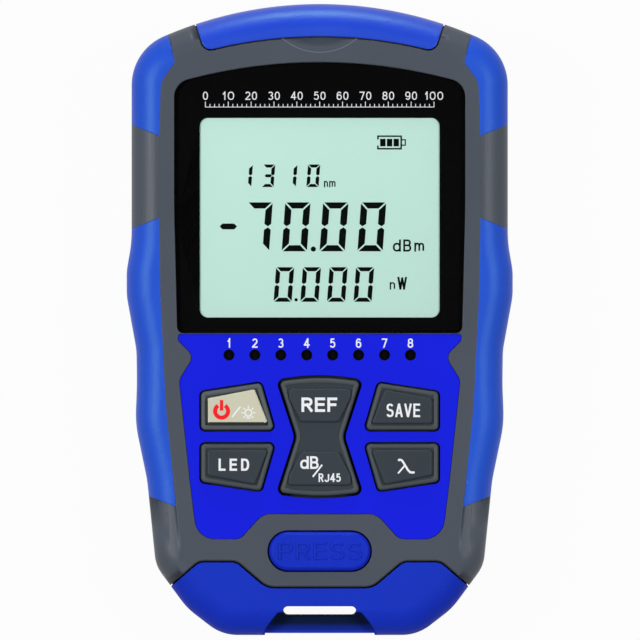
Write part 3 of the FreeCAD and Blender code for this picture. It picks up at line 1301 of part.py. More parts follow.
def build():
    """Make every piece and return it by name."""
    form = case_form()
    core = grip_core()
    corner_right = form.common(corner_grip_region()).cut(core)
    side_right = form.common(side_grip_region()).cut(core)
    grips = [corner_right, mirrored(corner_right), side_right, mirrored(side_right)]
    parts = {
        "front_shell": front_shell(form, grips),
        "rear_shell": rear_shell(form, grips),
        "corner_grip_right": grips[0],
        "corner_grip_left": grips[1],
        "side_grip_right": grips[2],
        "side_grip_left": grips[3],
        "keypad_panel": keypad_panel(),
        "display_lens": display_lens(),
        "lens_mask": lens_mask(),
        "lcd_glass": lcd_glass(),
        "lcd_backlight": lcd_backlight(),
        "lcd_frame": lcd_frame(),
        "indicator_lights": indicator_lights(),
        "power_key": power_key(),
        "power_key_cap": power_key_cap(),
        "led_key": outer_key(-1, -1, FACE_TOP_Z),
        "save_key": outer_key(1, 1, FACE_TOP_Z),
        "wavelength_key": outer_key(1, -1, FACE_TOP_Z),
        "centre_key": centre_key(),
        "main_board": main_board(),
        "port_plate": port_plate(),
        "optical_adapter": optical_adapter(),
        "adapter_sleeve": adapter_sleeve(),
        "detector_module": detector_module(),
        "laser_port": laser_port(),
        "laser_module": laser_module(),
        "torch_led": torch_led(),
        "network_jack": jack(DECK_Y + JACK_PROUD, NETWORK_JACK_X, NETWORK_JACK_Z),
        "network_jack_contacts": jack_contacts(DECK_Y + JACK_PROUD, NETWORK_JACK_X, NETWORK_JACK_Z),
        "top_cover": top_cover(form),
        "cover_hinge_pin": hinge_pin(),
        "release_button": release_button(),
        "release_spring": release_spring(),
        "button_guide": button_guide(),
        "latch_arm": latch_arm(),
        "remote_front_shell": remote_half(form, True),
        "remote_rear_shell": remote_half(form, False),
        "remote_carrier": remote_carrier(),
        "remote_jack": jack(TONGUE_END_Y, 0, jack_z()),
        "remote_jack_contacts": jack_contacts(TONGUE_END_Y, 0, jack_z()),
        "battery_contacts": battery_contacts(),
        "battery_door": battery_door(),
        "battery_door_screw": screw(0, DOOR_SCREW_Y, SEAT_GAP, DOOR_SCREW_HEAD_T, DOOR_SCREW_LENGTH),
        "case_screws": case_screws(),
    }
    keys = {"power": (-1, 1), "led": (-1, -1), "save": (1, 1), "wavelength": (1, -1)}
    for name, (side, row) in keys.items():
        parts[name + "_dome"] = key_dome(*key_centre(side, row))
    parts["ref_dome"] = key_dome(0, KEY_ROW_Y + ROCKER_DOME_Y)
    parts["db_dome"] = key_dome(0, KEY_ROW_Y - ROCKER_DOME_Y)
    for index in range(CELL_COUNT):
        parts["battery_%d" % (index + 1)] = battery_cell(index)
    return parts


os.makedirs("parts", exist_ok=True)
for name, shape in build().items():
    shape.exportStep("parts/%s.step" % name)
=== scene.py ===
"""Look of a handheld optical power meter with a hinged port cover and a detachable remote.

Every mesh is in metres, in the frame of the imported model. MM turns millimetres into metres.
"""
import json
import math

import bmesh
import bpy
from bpy.props import FloatProperty, FloatVectorProperty, PointerProperty
from mathutils import Matrix, Vector
from mathutils.bvhtree import BVHTree
from mathutils.geometry import delaunay_2d_cdt

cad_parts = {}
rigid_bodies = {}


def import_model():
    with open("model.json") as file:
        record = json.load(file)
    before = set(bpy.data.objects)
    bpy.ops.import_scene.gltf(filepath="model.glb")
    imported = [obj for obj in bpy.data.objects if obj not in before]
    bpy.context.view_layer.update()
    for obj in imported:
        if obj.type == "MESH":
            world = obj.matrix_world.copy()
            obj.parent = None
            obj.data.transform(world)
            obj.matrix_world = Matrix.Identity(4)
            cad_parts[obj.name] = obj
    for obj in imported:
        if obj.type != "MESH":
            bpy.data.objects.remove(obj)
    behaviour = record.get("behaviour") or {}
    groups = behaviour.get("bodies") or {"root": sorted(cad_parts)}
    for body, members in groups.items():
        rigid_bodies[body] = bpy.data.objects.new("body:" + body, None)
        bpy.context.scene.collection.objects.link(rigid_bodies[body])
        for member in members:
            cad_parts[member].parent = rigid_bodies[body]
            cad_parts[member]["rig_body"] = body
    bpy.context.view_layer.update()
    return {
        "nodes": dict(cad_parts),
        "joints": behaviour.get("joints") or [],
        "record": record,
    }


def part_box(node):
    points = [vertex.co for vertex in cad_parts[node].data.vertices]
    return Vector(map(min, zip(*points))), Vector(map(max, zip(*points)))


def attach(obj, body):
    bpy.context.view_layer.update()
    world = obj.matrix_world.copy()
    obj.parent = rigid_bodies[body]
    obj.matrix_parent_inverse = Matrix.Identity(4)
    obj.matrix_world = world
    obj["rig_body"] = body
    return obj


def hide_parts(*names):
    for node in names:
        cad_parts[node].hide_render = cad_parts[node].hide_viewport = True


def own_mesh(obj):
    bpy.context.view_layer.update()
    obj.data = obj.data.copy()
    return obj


bl_info = {
    "name": "Optical power meter",
    "version": (1, 0, 0),
    "blender": (4, 5, 0),
    "location": "3D View > Sidebar > Meter",
    "description": "Builds the finished surfaces, keys, display and studio of an optical power meter",
    "category": "Object",
}

MM = 0.001
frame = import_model()


# Sizes and colours

def shade(red, green, blue):
    """Linear colour from the usual 0 to 255 values."""
    def linear(value):
        share = value / 255
        return share / 12.92 if share <= 0.04045 else ((share + 0.055) / 1.055) ** 2.4
    return linear(red), linear(green), linear(blue)


def length(name, description, millimetres):
    """Property for a length, stored in metres."""
    return FloatProperty(name=name, description=description, default=millimetres * MM, min=0.0,
                         precision=5, unit="LENGTH")


def colour(name, description, red, green, blue):
    """Property for a colour, given as 0 to 255 values."""
    return FloatVectorProperty(name=name, description=description, default=shade(red, green, blue),
                               size=3, min=0.0, max=1.0, subtype="COLOR")


class MeterColours(bpy.types.PropertyGroup):
    """Colours of the mouldings, films and prints."""
    shell: colour("Shell", "Grey moulded case", 66, 73, 84)
    grip: colour("Grips", "Blue rubber over the corners and flanks", 24, 72, 204)
    cover: colour("Cover", "Blue rubber of the hinged port cover", 10, 50, 204)
    panel: colour("Panel", "Blue film round the keys", 22, 32, 218)
    remote: colour("Remote", "Blue moulding of the remote", 20, 46, 188)
    button: colour("Button", "Blue rubber of the release button", 14, 38, 190)
    key: colour("Keys", "Dark grey silicone of the keys", 38, 47, 55)
    rim: colour("Key rims", "Warmer grey of the beads round the keys", 64, 70, 72)
    cap: colour("Power cap", "Pale cap of the power key", 200, 198, 174)
    red: colour("Power mark", "Red print on the power cap", 245, 26, 36)
    white: colour("Print", "White print on keys and panel", 236, 238, 242)
    lens: colour("Lens print", "Black print behind the lens", 9, 9, 10)
    screen: colour("Screen", "Pale green display", 190, 226, 214)
    segment: colour("Segments", "Dark liquid crystal segments", 10, 13, 13)


class MeterSizes(bpy.types.PropertyGroup):
    """Sizes of edges, prints and small relief."""
    grip_edge: length("Grip edge", "Rounding of the rubber's borders", 0.22)
    remote_edge: length("Remote edge", "Rounding of the remote's seam", 0.40)
    panel_edge: length("Panel edge", "Rounding of the keypad film", 0.10)
    print_height: length("Print height", "Thickness of the printed marks", 0.02)
    emboss: length("Embossing", "Height of the raised word on the button", 0.22)
    bead_inset: length("Bead inset", "Distance of a key's bead from its edge", 0.6)
    bead_width: length("Bead width", "Width of the bead round a key", 0.95)
    bead_height: length("Bead height", "Height of the bead round a key", 0.26)
    # Painted shade: heights of the dark bands put in the gaps at the remote's seam and at the cover's lip
    seam_shade_low: length("Seal foot", "Lowest height of the seal at the remote's seam", 17.0)
    seam_shade_high: length("Seal top", "Highest height of the seal at the remote's seam", 24.5)
    lip_shade_low: length("Lip seal foot", "Lowest height of the seal at the cover's lip", 26.9)
    lip_shade_high: length("Lip seal top", "Highest height of the seal at the cover's lip", 27.7)
    thread_pitch: length("Thread pitch", "Pitch of the adapter's thread", 0.75)


class MeterStudio(bpy.types.PropertyGroup):
    """Camera and lights."""
    camera_distance: length("Camera distance", "Height of the camera over the face", 4000.0)
    view_width: length("View width", "Width that the camera sees at the face", 125.4)
    world_level: FloatProperty(name="World level", description="Plain light from all round",
                               default=0.22, min=0.0, max=4.0)
    front_power: FloatProperty(name="Front lights", description="Power of each soft box by the camera",
                               default=8.2, min=0.0, subtype="POWER", unit="POWER")
    side_power: FloatProperty(name="Side lights", description="Power of each small box at the flanks",
                              default=7.5, min=0.0, subtype="POWER", unit="POWER")
    right_share: FloatProperty(name="Right share", description="Right side light as a share of the left one",
                               default=0.45, min=0.0, max=1.0, subtype="FACTOR")
    top_power: FloatProperty(name="Top light", description="Power of the low box beyond the ports",
                             default=7.0, min=0.0, subtype="POWER", unit="POWER")


# Shader graphs

class Wire:
    """Output socket of a shader node that can be used in plain sums."""

    def __init__(self, graph, socket):
        self.graph = graph
        self.socket = socket

    def _join(self, operation, *terms):
        return self.graph.node("ShaderNodeMath", {"operation": operation}, dict(enumerate(terms)))

    def __add__(self, other):
        return self._join("ADD", self, other)

    __radd__ = __add__

    def __sub__(self, other):
        return self._join("SUBTRACT", self, other)

    def __rsub__(self, other):
        return self._join("SUBTRACT", other, self)

    def __mul__(self, other):
        return self._join("MULTIPLY", self, other)

    __rmul__ = __mul__

    def __truediv__(self, other):
        return self._join("DIVIDE", self, other)

    def __abs__(self):
        return self._join("ABSOLUTE", self)

    def above(self, edge, soft):
        """0 below an edge and 1 above it, with a soft step."""
        return self.graph.node("ShaderNodeMapRange", {"interpolation_type": "SMOOTHSTEP"},
                               {"Value": self, "From Min": edge - soft, "From Max": edge + soft})

    def beside(self, output):
        """Another output of the same node."""
        return Wire(self.graph, self.socket.node.outputs[output])


class Graph:
    """Node tree of a material or a world."""

    def __init__(self, owner):
        self.owner = owner
        owner.use_nodes = True
        self.tree = owner.node_tree
        self.tree.nodes.clear()

    def node(self, kind, settings=None, values=None, output=0):
        """Adds a node: its settings first, then the values or links of its sockets."""
        made = self.tree.nodes.new(kind)
        for key, value in (settings or {}).items():
            setattr(made, key, value)
        for key, value in (values or {}).items():
            self.feed(made.inputs[key], value)
        return Wire(self, made.outputs[output]) if len(made.outputs) else None

    def feed(self, socket, value):
        """Gives a socket a link or a plain value."""
        if isinstance(value, Wire):
            self.tree.links.new(value.socket, socket)
        elif hasattr(value, "__len__") and len(value) == 3 and socket.type == "RGBA":
            socket.default_value = (*value, 1.0)
        else:
            socket.default_value = value

    def shader(self, **values):
        """Principled shader; underscores in the names stand for spaces."""
        return self.node("ShaderNodeBsdfPrincipled", {},
                         {key.replace("_", " "): value for key, value in values.items()})

    def show(self, shader):
        """Ends the tree in a shader and gives back its material or world."""
        kind = "World" if isinstance(self.owner, bpy.types.World) else "Material"
        self.node("ShaderNodeOutput" + kind, {}, {"Surface": shader})
        return self.owner

    def finish(self, **values):
        """Ends the tree in a Principled shader."""
        return self.show(self.shader(**values))

    def parts(self, vector):
        """The three parts of a vector."""
        first = self.node("ShaderNodeSeparateXYZ", {}, {0: vector})
        return [first.beside(index) for index in range(3)]

    def place(self):
        """Position on the object, in metres."""
        return self.node("ShaderNodeTexCoord", output="Object")

    def noise(self, size, detail=3.0, rough=0.55):
        """Soft noise whose grains are about the given size in metres."""
        return self.node("ShaderNodeTexNoise", {},
                         {"Vector": self.place(), "Scale": 1 / size, "Detail": detail, "Roughness": rough})

    def cells(self, size):
        """Distance to the nearest point of a scatter with about the given spacing in metres."""
        return self.node("ShaderNodeTexVoronoi", {}, {"Vector": self.place(), "Scale": 1 / size},
                         "Distance")

    def mix(self, share, first, second):
        """Blend of two colours."""
        return self.node("ShaderNodeMix", {"data_type": "RGBA"}, {0: share, 6: first, 7: second}, 2)

    def blend(self, share, first, second):
        """Blend of two shaders."""
        return self.node("ShaderNodeMixShader", {}, {0: share, 1: first, 2: second})

    def bump(self, height, distance, edge=0.0):
        """Normal from a height with its depth in metres, over edges softened by a radius."""
        values = {"Height": height, "Distance": distance}
        if edge:
            values["Normal"] = self.node("ShaderNodeBevel", {"samples": 6}, {"Radius": edge})
        return self.node("ShaderNodeBump", {}, values)

    def seen(self, share=1):
        """1 on rays from the camera; glossy and transmitted rays count for a share."""
        path = self.node("ShaderNodeLightPath", output="Is Camera Ray")
        return path + (path.beside("Is Glossy Ray") + path.beside("Is Transmission Ray")) * share


def scaled(tint, factor):
    """A colour made lighter or darker."""
    return tuple(min(1.0, part * factor) for part in tint)


def mottled(graph, tint, grain):
    """Broad and fine noise, and a tint that wanders with both."""
    broad = graph.noise(18 * MM, 2.0)
    fine = graph.noise(grain, 4.0, 0.6)
    return broad, fine, graph.mix(broad * 0.6 + fine * 0.4, scaled(tint, 0.86), scaled(tint, 1.12))


def moulded(graph, tint, grain, depth, roughness, shine, edge=0.0, sheen=(1.0, 1.0, 1.0)):
    """Moulded plastic or rubber: grained, slightly uneven in colour and gloss, with soft edges."""
    broad, fine, tone = mottled(graph, tint, grain)
    height = fine * 0.7 + graph.cells(grain * 2.2) * 0.3
    return graph.finish(Base_Color=tone, Roughness=roughness - 0.06 + broad * 0.08 + fine * 0.06,
                        Normal=graph.bump(height, depth, edge), Specular_IOR_Level=shine, Specular_Tint=sheen)


def recess_shaded(graph, tint, recess_shade_tint):
    """The remote's moulding, with painted shade inside the recess for the strap."""
    half, face, end = 11.3 * MM, 26.2 * MM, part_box("remote_front_shell")[0].y
    across, along, up = graph.parts(graph.place())
    broad, fine, tone = mottled(graph, tint, 0.28 * MM)
    # Painted shade: the parts of the remote inside the strap recess, below its face
    recess_shade_mask = ((1 - abs(across).above(half, 0.2 * MM)) * (1 - up.above(face, 1.2 * MM))
              * along.above(end + 0.9 * MM, 0.4 * MM))
    # Painted shade, darkest inside the recess and less dark on the bar at its lower end
    dark = graph.mix(along.above(end + 2.0 * MM, 0.6 * MM), scaled(tint, 0.42), recess_shade_tint)
    return graph.finish(Base_Color=graph.mix(recess_shade_mask, tone, dark), Roughness=0.5 + broad * 0.06 + fine * 0.06,
                        Normal=graph.bump(fine, 0.05 * MM, 0.4 * MM), Specular_IOR_Level=0.13,
                        Specular_Tint=BLUE_SHEEN)


def film(graph, tint):
    """Printed polyester film: even colour with a very fine satin texture."""
    broad = graph.noise(30 * MM, 1.0)
    fine = graph.noise(0.25 * MM, 2.0)
    tone = graph.mix(broad, scaled(tint, 0.95), scaled(tint, 1.05))
    return graph.finish(Base_Color=tone, Roughness=0.42 + fine * 0.08,
                        Normal=graph.bump(fine, 0.004 * MM), Specular_IOR_Level=0.04)


def print_ink(graph, tint, shine=0.15):
    """Screen-printed ink, a little uneven at its finest."""
    fine = graph.noise(0.2 * MM, 3.0)
    tone = graph.mix(fine, scaled(tint, 0.93), scaled(tint, 1.0))
    return graph.finish(Base_Color=tone, Roughness=0.5 + fine * 0.1, Specular_IOR_Level=shine)


def metal(graph, tint, roughness):
    """Plated or turned metal with fine scratches."""
    fine = graph.noise(0.3 * MM, 5.0, 0.7)
    broad = graph.noise(4 * MM, 2.0)
    tone = graph.mix(broad, scaled(tint, 0.85), tint)
    return graph.finish(Base_Color=tone, Metallic=1.0, Roughness=roughness + fine * 0.12,
                        Normal=graph.bump(fine, 0.006 * MM))


def clear_lens(graph):
    """Clear acrylic: see-through, with a faint reflection and faint dust."""
    dust = graph.noise(0.6 * MM, 4.0, 0.7)
    gloss = graph.shader(Base_Color=(0.95, 0.97, 1.0), Metallic=1.0, Roughness=0.04 + dust * 0.03)
    edge = graph.node("ShaderNodeFresnel", {}, {"IOR": 1.3})
    clear = graph.node("ShaderNodeBsdfTransparent")
    return graph.show(graph.blend(edge * (0.24 + dust * 0.05), clear, gloss))


def lens_print(graph, tint):
    """Deep black print seen through the lens."""
    fine = graph.noise(0.8 * MM, 3.0)
    tone = graph.mix(fine, scaled(tint, 0.8), scaled(tint, 1.3))
    return graph.finish(Base_Color=tone, Roughness=0.6 + fine * 0.1, Specular_IOR_Level=0.005)


def along_box(graph, node):
    """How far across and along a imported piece's box a spot lies, from 0 to 1."""
    low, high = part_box(node)
    across, along, _ = graph.parts(graph.place())
    return (across - low.x) / (high.x - low.x), (along - low.y) / (high.y - low.y)


def screen_glass(graph, tint):
    """Display glass with painted light: lighter towards its upper left."""
    side, rise = along_box(graph, "lcd_glass")
    fine = graph.noise(0.4 * MM, 2.0)
    # Painted light, brighter towards the top and the left of the glass
    share = rise * 0.55 + (1 - side) * 0.3 + fine * 0.15
    tone = graph.mix(share, scaled(tint, 0.93), scaled(tint, 1.05))
    return graph.finish(Base_Color=tone, Roughness=0.35 + fine * 0.1, Specular_IOR_Level=0.1)


def board(graph):
    """Solder mask with faint copper tracks under it."""
    tracks = graph.node("ShaderNodeTexBrick", {},
                        {"Vector": graph.place(), "Scale": 160.0, "Mortar Size": 0.08}, "Fac")
    fine = graph.noise(0.4 * MM, 3.0)
    return graph.finish(Base_Color=graph.mix(tracks, shade(14, 92, 52), shade(24, 120, 66)),
                        Roughness=0.35 + fine * 0.15, Normal=graph.bump(tracks, 0.02 * MM))


def cell_sleeve(graph):
    """Printed sleeve of a battery cell: a dark body with a coppery band, with no words."""
    edge, soft = 0.74, 0.004
    band = along_box(graph, "battery_1")[1].above(edge, soft)
    fine = graph.noise(0.6 * MM, 3.0)
    return graph.finish(Base_Color=graph.mix(band, shade(34, 35, 38), shade(186, 122, 66)),
                        Metallic=band * 0.6, Roughness=0.28 + fine * 0.1)


BLUE_SHEEN = (0.5, 1.0, 0.5)

# Maker of each finish and its values. A name stands for a colour of the panel, alone or scaled.
# A moulding then has its grain and the grain's depth in metres, its roughness, its shine, the
# radius of its softened edges in metres and the tint of its shine.
FINISHES = {
    "shell_plastic": (moulded, "shell", 0.00028, 0.000022, 0.45, 0.32, 0.0002),
    "grip_rubber": (moulded, "grip", 0.00042, 0.00005, 0.46, 0.42, 0.0003, BLUE_SHEEN),
    "cover_rubber": (moulded, "cover", 0.00042, 0.00006, 0.38, 0.8, 0.0004, BLUE_SHEEN),
    "button_rubber": (moulded, "button", 0.0003, 0.00001, 0.5, 0.2, 0.0003, BLUE_SHEEN),
    "key_silicone": (moulded, "key", 0.00025, 0.000008, 0.5, 0.3, 0.0002),
    "rim_silicone": (moulded, "rim", 0.00025, 0.000008, 0.5, 0.3),
    # Paler copy of the rim colour: a painted highlight on the power key's bead
    "pale_silicone": (moulded, ("rim", 1.5), 0.00025, 0.000008, 0.5, 0.3),
    "cap_silicone": (moulded, "cap", 0.00025, 0.000006, 0.5, 0.3, 0.0002),
    # Paler copy of the shell's colour: a painted highlight on the scoop's rim
    "rim_plastic": (moulded, ("shell", 1.9), 0.0003, 0.00001, 0.45, 0.5),
    "black_plastic": (moulded, shade(16, 16, 18), 0.0003, 0.00001, 0.5, 0.4),
    "white_plastic": (moulded, shade(226, 226, 220), 0.0004, 0.000006, 0.5, 0.4),
    "lamp_plastic": (moulded, shade(5, 5, 7), 0.0004, 0.000003, 0.35, 0.06),
    "ceramic": (moulded, shade(240, 238, 230), 0.0005, 0.000002, 0.2, 0.5),
    "torch_plastic": (moulded, shade(226, 232, 240), 0.0006, 0.000002, 0.1, 0.5),
    # The remote's moulding takes painted shade in its strap recess, down to the last colour
    "remote_plastic": (recess_shaded, "remote", shade(0, 3, 50)),
    "panel_film": (film, "panel"),
    "white_ink": (print_ink, "white"),
    "red_ink": (print_ink, "red"),
    "segment_ink": (print_ink, "segment", 0.01),
    "nickel": (metal, shade(206, 204, 198), 0.22),
    "steel": (metal, shade(176, 178, 180), 0.3),
    "gold": (metal, shade(232, 190, 96), 0.2),
    "satin_metal": (metal, shade(168, 170, 172), 0.4),
    "lens_acrylic": (clear_lens,),
    "lens_print": (lens_print, "lens"),
    "screen_glass": (screen_glass, "screen"),
    "board": (board,),
    "cell_sleeve": (cell_sleeve,),
}


def painted(value):
    """A finish's value, with a colour's name turned into the colour."""
    name, factor = value if isinstance(value, tuple) and isinstance(value[0], str) else (value, None)
    if not isinstance(name, str):
        return value
    tint = getattr(bpy.context.scene.meter_colours, name)
    return scaled(tint, factor) if factor else tint


MADE = {}


def material(name):
    """Material of a finish, made when first asked for."""
    if name not in MADE:
        maker, *values = FINISHES[name]
        MADE[name] = maker(Graph(bpy.data.materials.new(name)), *[painted(value) for value in values])
    return MADE[name]


# Outlines and meshes

# Least share of a corner's direction that a moved edge or a band may keep, so that no point runs away
EDGE_LEAST, BAND_LEAST = 0.5, 0.6
SAME_SPOT, FIELD_SPOT = 1e-6, 1e-5
WELD, FLAT = 2e-7, math.radians(0.05)


def turned_outline(corners, step=math.radians(7)):
    """Points of a closed outline whose corners (x, y, radius), in millimetres, are turned by arcs."""
    points = []
    count = len(corners)
    for index, (x, y, radius) in enumerate(corners):
        here = Vector((x, y))
        before = (Vector(corners[index - 1][:2]) - here).normalized()
        after = (Vector(corners[(index + 1) % count][:2]) - here).normalized()
        if radius == 0:
            points.append(here * MM)
            continue
        half = before.angle(after) / 2
        centre = here + (before + after).normalized() * radius / math.sin(half)
        start = here + before * radius / math.tan(half) - centre
        sweep = math.pi - 2 * half
        sense = 1 if before.cross(after) < 0 else -1
        steps = max(2, math.ceil(sweep / step))
        for number in range(steps + 1):
            angle = sense * sweep * number / steps
            turned = Vector((start.x * math.cos(angle) - start.y * math.sin(angle),
                             start.x * math.sin(angle) + start.y * math.cos(angle)))
            points.append((centre + turned) * MM)
    return points


def other_side(right):
    """Corners on the other side of the middle, in the order that goes on from the right ones."""
    return [(-x, y, radius) for x, y, radius in reversed(right)]


def signed_area(points):
    """Area of a closed outline, negative where it runs clockwise."""
    return sum(a.cross(b) for a, b in zip(points, points[1:] + points[:1])) / 2


def moved_outline(points, amount):
    """The outline moved outwards, each point along its own normal."""
    turn = 1 if signed_area(points) > 0 else -1
    moved = []
    for index, point in enumerate(points):
        before = (point - points[index - 1]).normalized()
        after = (points[(index + 1) % len(points)] - point).normalized()
        along = (before + after).normalized()
        reach = max(along.dot(after), EDGE_LEAST)
        moved.append(point + Vector((along.y, -along.x)) * turn * amount / reach)
    return moved


def new_object(name, data):
    """Object in the scene for a mesh, a light or a camera."""
    made = bpy.data.objects.new(name, data)
    bpy.context.scene.collection.objects.link(made)
    return made


def mesh_object(name, points, faces):
    """Object from points and faces."""
    mesh = bpy.data.meshes.new(name)
    mesh.from_pydata([tuple(point) for point in points], [], faces)
    mesh.update()
    return new_object(name, mesh)


def lofted(name, rings, ends=True):
    """Closed object through rings of equal numbers of points: capped, or joined back to its first ring."""
    size = len(rings[0])
    points = [point for ring in rings for point in ring]
    faces = []
    for level in range(len(rings) - (1 if ends else 0)):
        low = level * size
        high = (level + 1) % len(rings) * size
        for index in range(size):
            follow = (index + 1) % size
            faces.append((low + index, low + follow, high + follow, high + index))
    if ends:
        faces.append(tuple(reversed(range(size))))
        faces.append(tuple(range((len(rings) - 1) * size, len(rings) * size)))
    made = mesh_object(name, points, faces)
    face_outwards(made)
    return made


def face_outwards(made):
    """Turns every face of an object outwards."""
    work = bmesh.new()
    work.from_mesh(made.data)
    bmesh.ops.recalc_face_normals(work, faces=work.faces)
    work.to_mesh(made.data)
    work.free()


def encloses(outline, x, y):
    """Whether a closed outline holds a spot."""
    held = False
    for (ax, ay), (bx, by) in zip(outline, outline[1:] + outline[:1]):
        if (ay > y) != (by > y) and x < ax + (y - ay) / (by - ay) * (bx - ax):
            held = not held
    return held


def plates(name, outlines, thickness):
    """One closed flat object from outlines in millimetres, merged where they overlap."""
    spots = []
    loops = []
    fields = []
    for outline in outlines:
        loops.append(list(range(len(spots), len(spots) + len(outline))))
        spots.extend(Vector(spot) for spot in outline)
        corners = [tuple(spot) for spot in outline]
        fields.append((min(x for x, _ in corners), max(x for x, _ in corners),
                       min(y for _, y in corners), max(y for _, y in corners), corners))
    flat, _, faces, _, _, _ = delaunay_2d_cdt(spots, [], loops, 1, FIELD_SPOT)
    work = bmesh.new()
    corners = [work.verts.new((spot.x * MM, spot.y * MM, 0.0)) for spot in flat]
    for face in faces:
        x = sum(flat[index].x for index in face) / len(face)
        y = sum(flat[index].y for index in face) / len(face)
        if any(left <= x <= right and low <= y <= high and encloses(outline, x, y)
               for left, right, low, high, outline in fields):
            work.faces.new([corners[index] for index in face])
    bmesh.ops.delete(work, geom=[corner for corner in work.verts if not corner.link_faces], context="VERTS")
    grown = bmesh.ops.extrude_face_region(work, geom=work.faces[:])
    lifted = [item for item in grown["geom"] if isinstance(item, bmesh.types.BMVert)]
    bmesh.ops.translate(work, verts=lifted, vec=(0, 0, thickness))
    bmesh.ops.recalc_face_normals(work, faces=work.faces)
    mesh = bpy.data.meshes.new(name)
    work.to_mesh(mesh)
    work.free()
    return new_object(name, mesh)


def smoothed(made, angle=30.0, weighted=True):
    """Smooth shading that keeps edges sharper than an angle in degrees."""
    made.data.shade_smooth()
    made.data.set_sharp_from_angle(angle=math.radians(angle))
    if weighted:
        modifier = made.modifiers.new("even normals", "WEIGHTED_NORMAL")
        modifier.keep_sharp = True
        modifier.weight = 80
    return made


def dressed(node, name, edge, angle=32.0, held=True):
    """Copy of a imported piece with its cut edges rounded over."""
    mesh = frame["nodes"][node].data.copy()
    work = bmesh.new()
    work.from_mesh(mesh)
    bmesh.ops.remove_doubles(work, verts=work.verts, dist=WELD)
    bmesh.ops.dissolve_limit(work, angle_limit=FLAT, verts=work.verts, edges=work.edges)
    if edge:
        sharp = [side for side in work.edges
                 if len(side.link_faces) == 2 and side.calc_face_angle(0.0) > math.radians(angle)]
        bmesh.ops.bevel(work, geom=sharp, offset=edge, segments=2, profile=0.5,
                        affect="EDGES", clamp_overlap=held, miter_outer="SHARP")
    work.to_mesh(mesh)
    work.free()
    mesh.materials.clear()
    made = new_object(name, mesh)
    made["dressed_from"] = node
    return smoothed(made)


def finish_piece(made, body, slot, finish, *nodes):
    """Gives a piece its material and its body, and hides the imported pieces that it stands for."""
    made.data.materials.clear()
    made.data.materials.append(material(finish))
    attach(made, body)
    if nodes:
        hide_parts(*nodes)
    return made


def finish_node(node, finish):
    """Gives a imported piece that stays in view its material."""
    mesh = frame["nodes"][node].data
    mesh.materials.clear()
    mesh.materials.append(material(finish))


def body_of(node):
    """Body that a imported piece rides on."""
    return frame["nodes"][node]["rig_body"]


def slot_of(node):
    """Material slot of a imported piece."""
    for entry in frame["record"]["subparts"]:
        if entry["node"] == node:
            return entry["material_slot"]
    raise KeyError(node)


def dress_node(node, finish, edge, **options):
    """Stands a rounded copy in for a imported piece."""
    made = dressed(node, node + "_finish", edge, **options)
    return finish_piece(made, body_of(node), slot_of(node), finish, node)


def travel_of(joint, arm=0.0):
    """Longest travel of a joint in metres; a turning joint takes the arm that its end swings on."""
    found = next(entry for entry in frame["joints"] if entry["name"] == joint)
    if found["type"] == "hinge":
        return arm * math.sin(math.radians(max(abs(limit) for limit in found["range_deg"])))
    return max(abs(limit) for limit in found["range_m"])


SPRING_SLACK = 0.05 * MM
ROCKER_ARM = 9.6 * MM


def springy(node, finish, joint, arm=0.0):
    """Copy of a packed dome or spring; the share of its height that would stay when its key or button goes down
    is worked out but not applied.
    """
    made = dress_node(node, finish, 0.0)
    low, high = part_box(node)
    keep = 1 - (travel_of(joint, arm) - SPRING_SLACK) / (high.z - low.z)
    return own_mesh(made)


# Prints and symbols, all in millimetres until they are laid on a surface

def arc_radius(half, rise):
    """Radius of an arc, from half of its chord and its rise."""
    return (half * half + rise * rise) / (2 * rise)


def stroke(spots, width):
    """Outlines that together make a band of even width along a line of points."""
    line = [Vector(spot) for spot in spots]
    closed = (line[0] - line[-1]).length < SAME_SPOT
    left = []
    right = []
    for index, here in enumerate(line):
        before = line[index - 1] if index else (line[-2] if closed else here)
        after = line[index + 1] if index + 1 < len(line) else (line[1] if closed else here)
        first = (here - before).normalized() if here != before else (after - here).normalized()
        second = (after - here).normalized() if here != after else first
        ahead = (first + second).normalized()
        reach = width / 2 / max(ahead.dot(first), BAND_LEAST)
        side = Vector((-ahead.y, ahead.x)) * reach
        left.append(here + side)
        right.append(here - side)
    return [(left[index], left[index + 1], right[index + 1], right[index])
            for index in range(len(line) - 1)]


def arc_spots(centre, radius, start, end, steps):
    """Points on an arc between two angles in degrees."""
    spots = []
    for number in range(steps + 1):
        angle = math.radians(start + (end - start) * number / steps)
        spots.append((centre[0] + radius * math.cos(angle), centre[1] + radius * math.sin(angle)))
    return spots


def rectangle(left, bottom, right, top):
    """Corners of an upright rectangle."""
    return [(left, bottom), (right, bottom), (right, top), (left, top)]


def support(*nodes):
    """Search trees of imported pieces, to lay prints on."""
    trees = []
    for node in nodes:
        mesh = frame["nodes"][node].data
        trees.append(BVHTree.FromPolygons([vertex.co for vertex in mesh.vertices],
                                          [tuple(face.vertices) for face in mesh.polygons]))
    return trees


def height_at(trees, x, y, reach=0.3 * MM, step=0.5 * MM):
    """Height in metres of the topmost surface at a spot in metres; a gap there takes its edge's height."""
    def top(across, along):
        found = [tree.ray_cast(Vector((across, along, 1.0)), Vector((0, 0, -1)))[0] for tree in trees]
        return max((spot.z for spot in found if spot is not None), default=0.0)

    here = top(x, y)
    around = max(top(x + across, y + along)
                 for across, along in ((reach, 0), (-reach, 0), (0, reach), (0, -reach)))
    return around if around - here > step else here


def evenly(outline, step=0.6):
    """The outline with points added along its long sides, so that it can follow a curved surface."""
    spots = []
    for index, spot in enumerate(outline):
        here = Vector(spot)
        after = Vector(outline[(index + 1) % len(outline)])
        parts = max(1, math.ceil((after - here).length / step))
        spots.extend(here.lerp(after, number / parts) for number in range(parts))
    return spots


def raised(made, height):
    """Lifts a mesh by a height in metres."""
    made.data.transform(Matrix.Translation((0, 0, height)))
    return made


